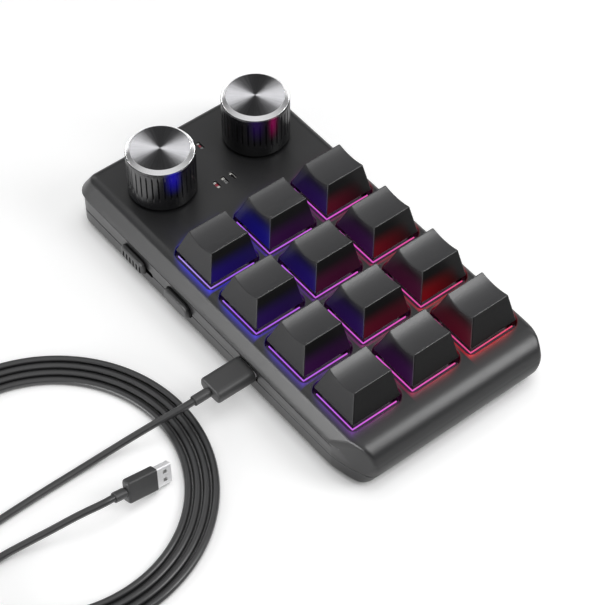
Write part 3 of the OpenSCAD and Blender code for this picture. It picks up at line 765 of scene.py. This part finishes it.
def outside_shell(x, y, z):
    """Roughly how far a point is outside the lower half."""
    run = np.where(z < floor_z + foot_chamfer, floor_z + foot_chamfer - z, 0.0)
    side = np.abs(x) - (half_w - overhang - run)
    rear = y - (half_l - overhang - run)
    walls = round_meet(side, rear, rear_r - overhang - run * 0.5)
    back = np.interp(z, (floor_z, 2.5, seam_z), (4.9, 3.6, 1.15))
    walls = round_meet(walls, past_facet(x, y) + run, front_edge_r)
    return round_meet(walls, -y - (half_l - back), front_edge_r)


def inner_shell(x, y, z):
    return np.maximum(outside_shell(x, y, np.full(len(x), seam_z)) + skin, -y - front_wall)


edge = level_ring(seam_z - seam_half, outside_shell)
lower = skinned("lower", [
    at_height(floor_z),
    *(level_ring(z, outside_shell) for z in (
        floor_z, floor_z + 0.12, floor_z + 0.4, floor_z + 0.75, floor_z + 1.1, floor_z + 1.4,
        3.4, 4.5, 5.8, seam_z - seam_half - 0.15)),
    edge - at_height(0, ways) * 0.15, level_ring(seam_z - seam_half, inner_shell),
    level_ring(floor_z + skin + 0.01, inner_shell), at_height(floor_z + skin)])
cutters = [turned("seat", [(0, -1), (r + flare, -1), (r + flare, floor_z), (r, floor_z + flare),
                           (r, top), (0, top)], steps, (x, y, 0))
           for places, r, flare, top, steps in (
               (screws, 2.2, 0.25, 4, 40), (feet, 4.6, 0.15, floor_z + 0.6, 48))
           for x, y in places]
piece("bottom_shell_tray", carve(lower, *cutters, *side_holes()), case_black, "case",
      "bottom_shell", sharp=40)

# ---- Keycaps ----
# Twelve sculpted caps moulded in matte black, each with a dished top that is set over to the rear
# right, on the cross of its switch.
cap_base = 18.0
cap_h = 8.4
cap_z = case_h + 0.85
cap_top_x = (-5.37, 8.5)
cap_top_y = (-5.08, 6.43)
dish_depth = 1.0
cap_edge = 0.32
cap_wall = 1.3
cap_roof = 2.2
cap_round = 0.45
dish_half = (cap_top_y[1] - cap_top_y[0]) / 2
dish_middle = (cap_top_y[1] + cap_top_y[0]) / 2
dish_r = (dish_half ** 2 + dish_depth ** 2) / (2 * dish_depth)


def dish(y):
    return cap_h - dish_depth + dish_r - math.sqrt(dish_r ** 2 - (y - dish_middle) ** 2)


def cap_outline(up, inset=0.0, sides=14):
    """The cap's outline, and how high up its sides it is: 0 is the foot and 1 the top corners."""
    half = cap_base / 2
    r = max(cap_round - inset, 0.05)
    low = [(end[0] + half) * up - half + inset + r for end in (cap_top_x, cap_top_y)]
    high = [(end[1] - half) * up + half - inset - r for end in (cap_top_x, cap_top_y)]
    corners = ((high[0], low[1]), high, (low[0], high[1]), low)
    made = []
    for i, corner in enumerate(corners):
        made += ring_of(r, 6, corner, math.pi / 2 * (i - 1), math.pi / 2, 1)
        if i in (0, 2):
            x, y = made[-1]
            end = corners[i + 1][1]
            made += [(x, y + (end - y) * s / sides) for s in range(1, sides)]
    return made


def cap_ring(below_edge, inset=0.0):
    """A ring that follows the dish's edge from so far below it, or lies on the dish."""
    made = []
    for i, (_, y) in enumerate(cap_outline(1.0)):
        x, y = cap_outline((dish(y) - below_edge) / cap_h, inset)[i]
        made.append((x, y, dish(y) - below_edge))
    return made


def cap_mesh():
    side, corner, top = cap_ring(cap_edge), cap_ring(0.0), cap_ring(0.0, cap_edge)
    rings = [[(x, y, z) for x, y in cap_outline(z / cap_h, inset)]
             for z, inset in ((0, 0.12), (0.14, 0))]
    rings += [[tuple((1 - t) ** 2 * p + 2 * t * (1 - t) * q + t * t * r for p, q, r in zip(*row))
               for row in zip(side, corner, top)] for t in (0, 0.25, 0.5, 0.75, 1)]
    made = bmesh.new()
    corners = walled(made, rings)
    made.faces.new(corners[0][::-1])
    last = corners[-1]
    for i in range(len(last) // 2 - 1):
        made.faces.new((last[i], last[i + 1], last[-2 - i], last[-1 - i]))
    return as_mesh("cap", made)


half = cap_base / 2 - cap_wall
cap_inside = loft("cap_inside", [
    [(x, y, z) for x, y in ((x0, y0), (x1, y0), (x1, y1), (x0, y1))] for z, x0, y0, x1, y1 in (
        (-1.0, -half, -half, half, half),
        (cap_h - cap_roof, cap_top_x[0] + 0.3, cap_top_y[0] + 0.3,
         cap_top_x[1] - cap_wall, cap_top_y[1] - cap_wall + 0.3))])
boss = turned("boss", [(0, 0.4), (2.75, 0.4), (2.75, 7), (0, 7)], 32)
cross = [bar("cross", (-1, 4.8), lambda z, u, v, w=w, t=t: (u * w, v * t, z))
         for w, t in ((2.0, 0.585), (0.585, 2.0))]
blank = carve(carve(carve(cap_mesh(), cap_inside), boss, operation="UNION"), *cross)
key_black = finish("key_black", (0.026, 0.026, 0.027), 0.36, grain=0.22, bump=0.02, gaps=1.0,
                   Specular_IOR_Level=0.22)
for name, (x, y) in keys.items():
    piece(f"cap_{name}", move(blank.copy(), Matrix.Translation((x, y, cap_z))), key_black,
          f"key_{name}", f"keycap_{name}", sharp=50)

# ---- Knobs ----
# Two push knobs: a moulded grip in gloss black with flutes all round, and a turned metal top set
# in it, with a bright bevel round its edge.
knob_r = 11.0
knob_z = case_h + 0.6
knob_top = knob_z + 16.9
cap_seat = knob_top - 1.2
bezel_h = 1.04
bezel_r = 9.47
disc_r = 10.71
flutes = 36
steps_per_flute = 14
groove_low_z = knob_z + 3.6
groove_high_z = knob_top - 2.5
grip_profile = [
    (3.2, knob_z + 1), (5, knob_z + 1), (5, knob_z), (10.6, knob_z), (10.85, knob_z + 0.08),
    (10.97, knob_z + 0.25), (knob_r, knob_z + 0.5),
    *((knob_r, z) for z in np.linspace(groove_low_z, groove_high_z, 13).tolist()),
    (knob_r, cap_seat - 0.25), (10.93, cap_seat - 0.08), (10.8, cap_seat), (8.1, cap_seat),
    (8.1, cap_seat - 0.8), (3.2, cap_seat - 0.8), (3.2, knob_z + 1)]
disc_profile = [
    (0, cap_seat + 0.04), (10.55, cap_seat + 0.04), (disc_r, cap_seat + 0.16),
    (disc_r, knob_top - bezel_h - 0.05), (10.6, knob_top - bezel_h + 0.02),
    (bezel_r + 0.06, knob_top - 0.04), (bezel_r, knob_top), (bezel_r - 0.08, knob_top - 0.08),
    (0, knob_top - 0.08)]


def grow(mesh, tree, **values):
    """The mesh that a geometry node tree makes from a mesh, with its inputs set."""
    body = linked("grown", mesh)
    step = body.modifiers.new("nodes", "NODES")
    step.node_group = tree
    for item in tree.interface.items_tree:
        if item.in_out == "INPUT" and item.name in values:
            step[item.identifier] = values[item.name]
    return evaluated(body)


def hand_out(tree, geometry, material):
    """Ends a geometry node tree: real faces, in one material."""
    real = node(tree, "GeometryNodeRealizeInstances", geometry)
    paint = node(tree, "GeometryNodeSetMaterial", real.outputs[0], Material=material)
    node(tree, "NodeGroupOutput", paint.outputs[0])


# The flutes: a node tree that draws each column of the blank in, between two heights.
flute_tree, take = group_of("fluted_knob", {
    "Geometry": "Geometry", "Flutes": 36.0, "Depth": 0.3, "Width": 0.4, "Bottom": 0.0,
    "Top": 1.0, "Round": 0.6, "Radius": 11.0, "Material": "Material"},
    {"Geometry": "Geometry"}, "GeometryNodeTree")
x, y, z = Wire(node(flute_tree, "GeometryNodeInputPosition").outputs[0]).axes()
turn = y.maths("ARCTAN2", x) * (take["Flutes"] / (2 * math.pi))
cell = (turn + 0.5).maths("FRACT")
across = (cell - 0.5).maths("ABSOLUTE") / (take["Width"] * 0.5)
hollow = (across * across * -1.0).maths("ADD", 1.0, clamp=True)
up = (z - take["Bottom"]).maths("DIVIDE", take["Round"], clamp=True)
down = (take["Top"] - z).maths("DIVIDE", take["Round"], clamp=True)
out_by = (x * x + y * y).maths("SQRT")
on_wall = out_by.maths("GREATER_THAN", take["Radius"] - 0.02)
drawn = hollow * up.maths("SQRT") * down.maths("SQRT") * on_wall * take["Depth"]
share = drawn / out_by.maths("MAXIMUM", 0.001) * -1.0
inward = node(flute_tree, "ShaderNodeCombineXYZ", x * share, y * share)
fluted = node(flute_tree, "GeometryNodeSetPosition", take["Geometry"], Offset=inward.outputs[0])
hand_out(flute_tree, fluted.outputs[0], take["Material"])


def scaled(colour, value):
    """A colour made stronger or weaker."""
    return Wire(node(colour.id_data, "ShaderNodeVectorMath", colour, operation="SCALE",
                     Scale=value).outputs[0])


def shader_of(material):
    return material.node_tree.nodes["Principled BSDF"]


def colour_into(material):
    """The socket that feeds a material's base colour."""
    return shader_of(material).inputs["Base Color"].links[0].from_socket


knob_black = finish("knob_black", (0.005, 0.005, 0.006), 0.26, grain=0.5, clouds=0.05,
                    bump=0.002, gaps=1.0, Specular_IOR_Level=0.7)
knob_metal = finish("knob_metal", (0.024, 0.024, 0.025), 0.345, grain=0.5, clouds=0.03,
                    marks=0.03, bump=0.0, Metallic=1.0, Anisotropic=1.0,
                    Anisotropic_Rotation=0.25)
spun = node(knob_metal.node_tree, "ShaderNodeTangent", direction_type="RADIAL", axis="Z")
feed(shader_of(knob_metal), Tangent=spun.outputs[0])

# The lines that the tool left round a turned top, uneven in shine: a painted sheen that makes the
# colour lighter and darker in streaks round the axis.
streaks, take = group_of("spun_streaks", {"Color": (0.5, 0.5, 0.5, 1)}, {"Color": "Color"})
x, y, _ = own_place(streaks).axes()
angle = (y - knob_y * MM).maths("ARCTAN2", x - x.maths("SIGN") * (knob_pitch / 2 * MM))
rays = node(streaks, "ShaderNodeTexNoise", noise_dimensions="1D", W=angle, Scale=11.0,
            Detail=4.0, Roughness=0.7)
uneven = Wire(rays.outputs["Fac"]).between(0.3, 0.7, 0.75, 1.2)
node(streaks, "NodeGroupOutput", scaled(take["Color"].socket, uneven))
brushed = node(knob_metal.node_tree, "ShaderNodeGroup", node_tree=streaks,
               Color=colour_into(knob_metal))
feed(shader_of(knob_metal), Base_Color=brushed.outputs["Color"])
knob_bright = finish("knob_bright", (0.98, 0.98, 0.99), 0.2, grain=0.5, clouds=0.03, marks=0.05,
                     bump=0.001, Metallic=1.0)
discs = []
for side, word in ((-1, "left"), (1, "right")):
    knob_x = side * knob_pitch / 2
    at_knob = Matrix.Translation((knob_x, knob_y, 0))
    grip = grow(turned("knob", grip_profile, flutes * steps_per_flute), flute_tree,
                Flutes=float(flutes), Depth=0.36, Width=0.25, Bottom=groove_low_z,
                Top=groove_high_z, Round=0.7, Radius=knob_r, Material=knob_black)
    piece(f"{word}_knob_grip", move(grip, at_knob), knob_black, f"{word}_knob",
          f"{word}_knob_body", sharp=45)
    disc = piece(f"{word}_knob_disc", move(turned("disc", disc_profile, 128), at_knob),
                 knob_metal, f"{word}_knob", f"{word}_knob_cap", sharp=25)
    disc.data.materials.append(knob_bright)
    for face in disc.data.polygons:
        out_by = math.hypot(face.center.x - knob_x * MM, face.center.y - knob_y * MM)
        face.material_index = int(out_by > bezel_r * MM)
    discs.append(disc)

# The room's lamps are kept off the turned tops, which have two of their own at the sides, and the
# keycaps' tops have one.
caps = [bpy.data.objects[f"cap_{name}"] for name in keys]
for lamps, lit, state in ((general_lamps, discs, "EXCLUDE"), (disc_lamps, discs, "INCLUDE"),
                          (cap_lamps, caps, "INCLUDE")):
    members = bpy.data.collections.new("lit_apart")
    for one in lit:
        members.objects.link(one)
    for member in members.collection_objects:
        member.light_linking.link_state = state
    for lamp in lamps:
        lamp.light_linking.receiver_collection = members

# ---- Light rims ----
# The clear guide under the cover shows as a bright bead along two sides of each opening, with a
# gap at two corners. Its colour runs from violet near the lead to red at the far front corner.
rim_half = 9.28
rim_end = 7.2
rim_z = 19.55
rim_width = 0.3
rim_height = 0.5
corner_cut = 0.25
rim_line = bpy.data.meshes.new("rim_line")
rim_line.from_pydata([
    (-rim_half, rim_end, 0), (-rim_half, corner_cut - rim_half, 0), (-rim_half, -rim_half, 0),
    (corner_cut - rim_half, -rim_half, 0), (rim_end, -rim_half, 0)],
    [(i, i + 1) for i in range(4)], [])
rim_tree, take = group_of("light_rims", {
    "Geometry": "Geometry", "Columns": 3, "Rows": 4, "Pitch": 22.5, "Middle": "Vector",
    "Width": 0.3, "Height": 0.4, "Material": "Material"},
    {"Geometry": "Geometry"}, "GeometryNodeTree")
line = node(rim_tree, "GeometryNodeMeshToCurve", take["Geometry"])
section = node(rim_tree, "GeometryNodeCurvePrimitiveQuadrilateral", Width=take["Width"],
               Height=take["Height"])
bead = node(rim_tree, "GeometryNodeCurveToMesh", line.outputs[0], section.outputs[0],
            Fill_Caps=True)
turned_round = node(rim_tree, "GeometryNodeTransform", bead.outputs[0],
                    Rotation=(0, 0, math.pi))
pair = node(rim_tree, "GeometryNodeJoinGeometry", bead.outputs[0])
rim_tree.links.new(turned_round.outputs[0], pair.inputs[0])
grid = node(rim_tree, "GeometryNodeMeshGrid", (take["Columns"] - 1.0) * take["Pitch"],
            (take["Rows"] - 1.0) * take["Pitch"], take["Columns"], take["Rows"])
at_keys = node(rim_tree, "GeometryNodeTransform", grid.outputs["Mesh"],
               Translation=take["Middle"])
each = node(rim_tree, "GeometryNodeInstanceOnPoints", at_keys.outputs[0],
            Instance=pair.outputs[0])
hand_out(rim_tree, each.outputs[0], take["Material"])
light_violet = finish("light_violet", (0.1, 0.06, 0.12), 0.3, bump=0.004)
rims = grow(rim_line, rim_tree, Columns=3, Rows=4, Pitch=key_pitch,
            Middle=(0.0, key_block_y, rim_z), Width=rim_width, Height=rim_height,
            Material=light_violet)
piece("light_rims", rims, light_violet, "case", sharp=30)


def in_mm(tree):
    """Where a point is on the object, in millimetres along each axis."""
    return scaled(own_place(tree).socket, 1 / MM).axes()


# Where a point is among the keys, in millimetres: across and along from the nearest key's middle,
# its height, and how far on it is from the violet corner to the red one.
key_place, _ = group_of("key_place", {}, dict.fromkeys(
    ("Across", "Along", "Height", "Column", "Row", "Run"), "Float"))
x, y, z = in_mm(key_place)
first_row = key_block_y + 1.5 * key_pitch
column = (x / key_pitch).maths("ROUND").maths("MAXIMUM", -1.0).maths("MINIMUM", 1.0)
down_by = (y * -1.0 + first_row) / key_pitch
row = down_by.maths("ROUND").maths("MAXIMUM", 0.0).maths("MINIMUM", 3.0)
node(key_place, "NodeGroupOutput", x - column * key_pitch, (row - down_by) * key_pitch, z,
     column, row, down_by + (x / key_pitch + 1.0) * 2.0)


def among_keys(tree):
    place = node(tree, "ShaderNodeGroup", node_tree=key_place)
    return {socket.name: Wire(socket) for socket in place.outputs}


def spill(share):
    """The colour of the light that is thrown on black, a share of the way to the red corner."""
    return share.ramp(
        (0.0, (0.003, 0.0015, 0.125)), (1.0, (0.115, 0.0, 0.002)),
        (0.29, (0.012, 0.0015, 0.055)), (0.43, (0.021, 0.001, 0.032)),
        (0.57, (0.036, 0.001, 0.016)), (0.75, (0.065, 0.001, 0.006)))


def added(colour, other):
    return node(colour.socket.id_data, "ShaderNodeVectorMath", colour, other,
                operation="ADD").outputs[0]


# The light that the rims throw on the case round each opening.
case_glow, _ = group_of("case_glow", {}, {"Color": "Color"})
place = among_keys(case_glow)
past_x, past_y = ((place[way].maths("ABSOLUTE") - key_hole / 2).maths("MAXIMUM", 0.0)
                  for way in ("Across", "Along"))
away = (past_x * past_x + past_y * past_y).maths("SQRT")
fall = (away * -1.25).maths("EXPONENT") * place["Height"].smooth(18.0, 19.9)
skew = (place["Along"] - place["Across"]).maths("ABSOLUTE")
fall = fall * skew.smooth(13.0, 19.5, 1.0, 0.0)
node(case_glow, "NodeGroupOutput", scaled(spill((place["Run"] + 0.2) / 7.0), fall))

# The light that the rims throw on the sides of the caps that face them. The front sides, which
# face away from the room's light, also take a darker shade.
cap_glow, _ = group_of("cap_glow", {}, {"Color": "Color", "Shade": "Float"})
place = among_keys(cap_glow)
normal = Wire(node(cap_glow, "ShaderNodeTexCoord").outputs["Normal"]).axes()
up = place["Height"] - cap_z
step = place["Row"] + (place["Column"] + 1.0) * 2.0
left_face = normal[0].smooth(-0.55, -0.8) * place["Column"].smooth(-0.9, -0.1)
left_face = left_face * up.smooth(8.2, 2.6) * place["Along"].between(-6.0, 6.5, 1.0, 0.5)
front_face = normal[1].smooth(-0.55, -0.8) * place["Row"].smooth(2.9, 2.1) * up.smooth(6.6, 2.0)
to_right = place["Across"].between(-6.5, 6.5) * place["Column"].smooth(0.1, 0.9, 0.45, 1.0)
front_face = front_face * (to_right * -1.0 + 1.0)
node(cap_glow, "NodeGroupOutput",
     added(scaled(spill((step - 2.0) / 7.0), left_face),
           scaled(spill((step + 1.0) / 7.0), front_face)),
     normal[1].smooth(-0.4, -0.75, 1.0, 0.15))


def lit_by(material, group, strength=1.0):
    """The material shows the light that a group gives."""
    source = node(material.node_tree, "ShaderNodeGroup", node_tree=group).outputs
    feed(shader_of(material), Emission_Strength=strength, Emission_Color=source["Color"])
    return source


lit_by(case_black, case_glow, 4.6)
shade = Wire(lit_by(key_black, cap_glow)["Shade"])
feed(shader_of(key_black), Base_Color=multiplied(colour_into(key_black), shade))

# The light of the guide itself: bright where it is a rim, and faint deep in the case.
rim_glow, _ = group_of("rim_glow", {}, {"Color": "Color"})
share = (among_keys(rim_glow)["Run"] + 0.9) / 8.5
node(rim_glow, "NodeGroupOutput", share.ramp(
    (0.0, (0.40, 0.28, 0.85)), (1.0, (0.78, 0.05, 0.10)), (0.12, (0.33, 0.10, 0.85)),
    (0.35, (0.50, 0.11, 0.80)), (0.6, (0.75, 0.08, 0.58)), (0.75, (0.75, 0.07, 0.36))))
light_deep = finish("light_deep", (0.02, 0.012, 0.03), 0.4, bump=0.004, gaps=1.0)
lit_by(light_deep, rim_glow, 0.015)
lit_by(light_violet, rim_glow)
dress("light_guide", light_deep)

# The blue and the red that the key light throws on the black knobs, each round one direction.
knob_glow, _ = group_of("knob_glow", {}, {"Color": "Color"})
x, y, z = in_mm(knob_glow)
on_side = x.maths("SIGN")
angle = (y - knob_y).maths("ARCTAN2", x - on_side * (knob_pitch / 2))
high = z.smooth(knob_z + 5.5, knob_z + 14.5)
total = None
for towards, half, colour, side in ((-105, 20, (0.005, 0.002, 0.27), -1),
                                    (-97, 13, (0.15, 0.0, 0.045), 1),
                                    (-126, 20, (0.009, 0.001, 0.04), 1)):
    off = (angle - math.radians(towards)).maths("ABSOLUTE")
    near = off.smooth(math.radians(half), 0.0).maths("POWER", 1.4) * on_side.smooth(-side, side)
    tint = node(knob_glow, "ShaderNodeRGB").outputs[0]
    tint.default_value = (*colour, 1)
    glow = scaled(tint, near * high)
    total = Wire(added(total, glow)) if total else glow
node(knob_glow, "NodeGroupOutput", total)
lit_by(knob_black, knob_glow)

# ---- Slide switch ----
# A moulded black slider that covers its slot in the left side: a rolled edge all round and
# six upright finger slots cut in its outer face.
slider_size = (12.0, 5.7)
slider_corner = 1.9
slider_y = 40.05
slider_out = 1.7
slider_gap = 0.15
neck_end = -34.4
ribs = 6
first_rib = -2.65
rib_step = 1.72
rib_cut = (0.74, 0.85)


def rolled_block(name, size, corner, y, out, roll, neck_inset):
    """A block on the left wall: a neck that goes in, and a rolled edge round its outer face."""
    face = -wall_x - out
    foot = -wall_x - slider_gap
    sections = [(neck_end, neck_inset), (foot + 0.02, neck_inset), (foot, 0.12),
                (foot - 0.12, 0)]
    for i in range(10):
        a = math.pi / 2 * i / 9
        sections.append((face + roll * (1 - math.sin(a)), roll * (1 - math.cos(a))))
    return loft(name, along_x(size, corner, 12, y, side_z, *sections))


copies_tree, take = group_of("copies_at_points", {
    "Geometry": "Geometry", "Item": "Object", "Material": "Material"},
    {"Geometry": "Geometry"}, "GeometryNodeTree")
item = node(copies_tree, "GeometryNodeObjectInfo", Object=take["Item"])
each = node(copies_tree, "GeometryNodeInstanceOnPoints", take["Geometry"],
            Instance=item.outputs["Geometry"])
hand_out(copies_tree, each.outputs[0], take["Material"])


def copies(mesh, places, material=None):
    """One mesh with a copy of the given one at each place."""
    points = bpy.data.meshes.new("places")
    points.from_pydata(places, [], [])
    original = linked("item", mesh)
    made = grow(points, copies_tree, Item=original, Material=material)
    bpy.data.objects.remove(original)
    return made


control_black = finish("control_black", (0.026, 0.026, 0.027), 0.34, grain=0.25, bump=0.008,
                       gaps=1.0)
rib_cutter = loft("rib_cut", [
    [(x, y * (rib_cut[0] / 2 + wider), up)
     for x, y in ((-1, -1), (rib_cut[1], -1), (rib_cut[1], 1), (-1, 1))]
    for up, wider in ((-4.0, 0), (0.6, 0), (0.95, -0.1), (1.15, -0.25), (1.22, -0.37))])
rib_places = [(-wall_x - slider_out, slider_y + (i + first_rib) * rib_step, side_z)
              for i in range(ribs)]
slider_block = rolled_block("slider", slider_size, slider_corner, slider_y, slider_out,
                            roll=1.25, neck_inset=1.9)
piece("slider_finger_block", carve(slider_block, copies(rib_cutter, rib_places)), control_black,
      "slide_switch", "slide_switch_knob", sharp=40)

# ---- Side button ----
# A long round-ended push button, moulded in black, with a rolled edge round its flat face. Its
# stem goes through the wall to the switch behind it.
button_block = rolled_block("button", size=(12.6, 5.9), corner=2.94, y=button_y, out=1.6,
                            roll=1.15, neck_inset=0.0)
piece("side_button_cap", button_block, control_black, "side_button", "side_button", sharp=40)

# ---- Indicators ----
# Smoked windows sunk in the four slots, with the small lit parts of the lamps under them: white
# at the ends, and red or pale between.
lens_z = case_h - 0.5


def flat_top(width, tall, radius, steps, place, *levels):
    """A small plate with soft edges: at each height its outline is drawn in by a share."""
    outline = rounded_rect(width, tall, radius, steps)
    return loft("plate", [[(place[0] + x * (1 - inset), place[1] + y * (1 - inset), lens_z + z)
                           for x, y in outline] for z, inset in levels])


lens_dark = finish("lens_dark", (0.012, 0.011, 0.012), 0.12, grain=0.5, bump=0.001)
lens = flat_top(slot_size[0] - 0.06, slot_size[1] - 0.06, 0.28, 4, (0, 0), (-1.2, 0),
                (-0.05, 0), (0, 0.08))
piece("indicator_lenses", copies(lens, [(x, y, 0.0) for x, y in slots]), lens_dark, "case",
      "indicator_windows", slot="window_clear", sharp=40)
# Each pad lies on the lens of a slot: the slot's number, the place in it and the pad's size.
for shade, colour, pads in (
        ("white", (0.62, 0.61, 0.58), (
            (0, 0.0, 1.12, 1.0, 0.72), (0, 0.0, -1.02, 1.05, 0.95), (1, 0.0, 1.08, 1.0, 0.85),
            (2, 0.0, 1.25, 1.0, 0.5), (2, 0.42, -0.2, 0.18, 2.3), (3, 0.0, 1.2, 0.95, 0.55))),
        ("grey", (0.20, 0.20, 0.20), (
            (1, 0.0, 0.12, 0.9, 0.9), (1, 0.0, -0.98, 1.1, 1.0), (2, -0.42, -0.75, 0.16, 1.3),
            (3, 0.0, -1.0, 1.0, 0.9))),
        ("red", (0.32, 0.03, 0.05), ((0, 0.0, 0.1, 1.02, 1.1), (3, -0.1, 0.15, 0.7, 1.2)))):
    paint = finish(f"lamp_{shade}", colour, 0.35, grain=0.2, bump=0.004)
    made = bmesh.new()
    for slot, u, v, wide, tall in pads:
        made.from_mesh(flat_top(wide, tall, 0.12, 3, (slots[slot][0] + u, slots[slot][1] + v),
                                (-0.3, 0), (0.08, 0), (0.13, 0.12)))
    piece(f"indicator_lamps_{shade}", as_mesh("pads", made), paint, "case", slot="led_cream",
          sharp=40)

# ---- Screws and feet ----
# Six self-tapping screws with a cross recess hold the halves from below, sunk in their holes,
# and four moulded rubber feet are glued in shallow seats.
screw_steel = finish("screw_steel", (0.30, 0.30, 0.31), 0.32, marks=0.12, bump=0.004,
                     Metallic=1.0)
head_z = floor_z + skin - 1.4
head = turned("head", [(r, head_z + z) for r, z in (
    (0, 0), (1.35, 0), (1.7, 0.15), (1.88, 0.45), (1.9, 0.7), (1.9, 1.4), (0.98, 1.4),
    (0.98, 12.6), (0.5, 13.4), (0, 13.4))], 32)
cross_cut = [bar("cross_cut", ((-0.1, 1.05), (0.85, 0.45)), lambda end, u, v, w=w, t=t: (
    u * w * end[1], v * t * end[1], head_z + end[0])) for w, t in ((1.1, 0.26), (0.26, 1.1))]
piece("case_screws_set", copies(carve(head, *cross_cut), [(x, y, 0.0) for x, y in screws]),
      screw_steel, "case", "case_screws", sharp=40)
foot_rubber = finish("foot_rubber", (0.022, 0.022, 0.022), 0.72, grain=0.5, bump=0.03)
foot = turned("foot", [(0, 0.06), (3.2, 0.02), (3.7, 0), (4.05, 0.07), (4.2, 0.28),
                       (4.2, floor_z), (3.9, floor_z + 0.05), (3.9, floor_z + 0.6),
                       (0, floor_z + 0.6)], 56)
piece("rubber_feet_set", copies(foot, [(x, y, 0.0) for x, y in feet]), foot_rubber, "case",
      "rubber_feet", sharp=40)

# ---- Inner parts ----
# What stays inside keeps its drawn shape and gets its own finish: a lacquered board, moulded
# housings, stamped steel, and the foil round the battery.
for name, colour, rough, grain, bump, extra, node_names in (
        ("board_green", (0.012, 0.075, 0.035), 0.35, 0.8, 0.01, {"Coat_Weight": 0.3},
         ["main_pcb"]),
        ("chip_black", (0.02, 0.02, 0.021), 0.5, 0.15, 0.01, {}, ["controller_chip"]),
        ("housing_clear", (0.34, 0.34, 0.35), 0.3, 0.4, 0.006, {}, ["switch_housings"]),
        ("led_cream", (0.75, 0.66, 0.38), 0.35, 0.3, 0.006, {}, ["key_leds", "indicator_leds"]),
        ("battery_foil", (0.5, 0.5, 0.52), 0.32, 1.6, 0.05, {"Metallic": 0.7}, ["battery"]),
        ("socket_steel", (0.62, 0.62, 0.64), 0.25, 0.4, 0.002, {"Metallic": 1.0},
         ["usb_socket"]),
        ("plate_steel", (0.42, 0.42, 0.43), 0.38, 0.5, 0.004, {"Metallic": 1.0},
         ["switch_plate"]),
        ("part_steel", (0.55, 0.55, 0.56), 0.3, 0.4, 0.003, {"Metallic": 1.0},
         ["slide_switch_body", "side_button_switch", "left_encoder_body", "right_encoder_body",
          "left_encoder_shaft", "right_encoder_shaft"]),
        ("rotor_black", (0.02, 0.02, 0.021), 0.45, 0.3, 0.01, {},
         ["left_encoder_rotor", "right_encoder_rotor"]),
        ("stem_red", (0.32, 0.015, 0.012), 0.35, 0.3, 0.006, {},
         [f"key_stem_{key}" for key in keys])):
    paint = finish(name, colour, rough, grain=grain, bump=bump, **extra)
    for node_name in node_names:
        dress(node_name, paint)
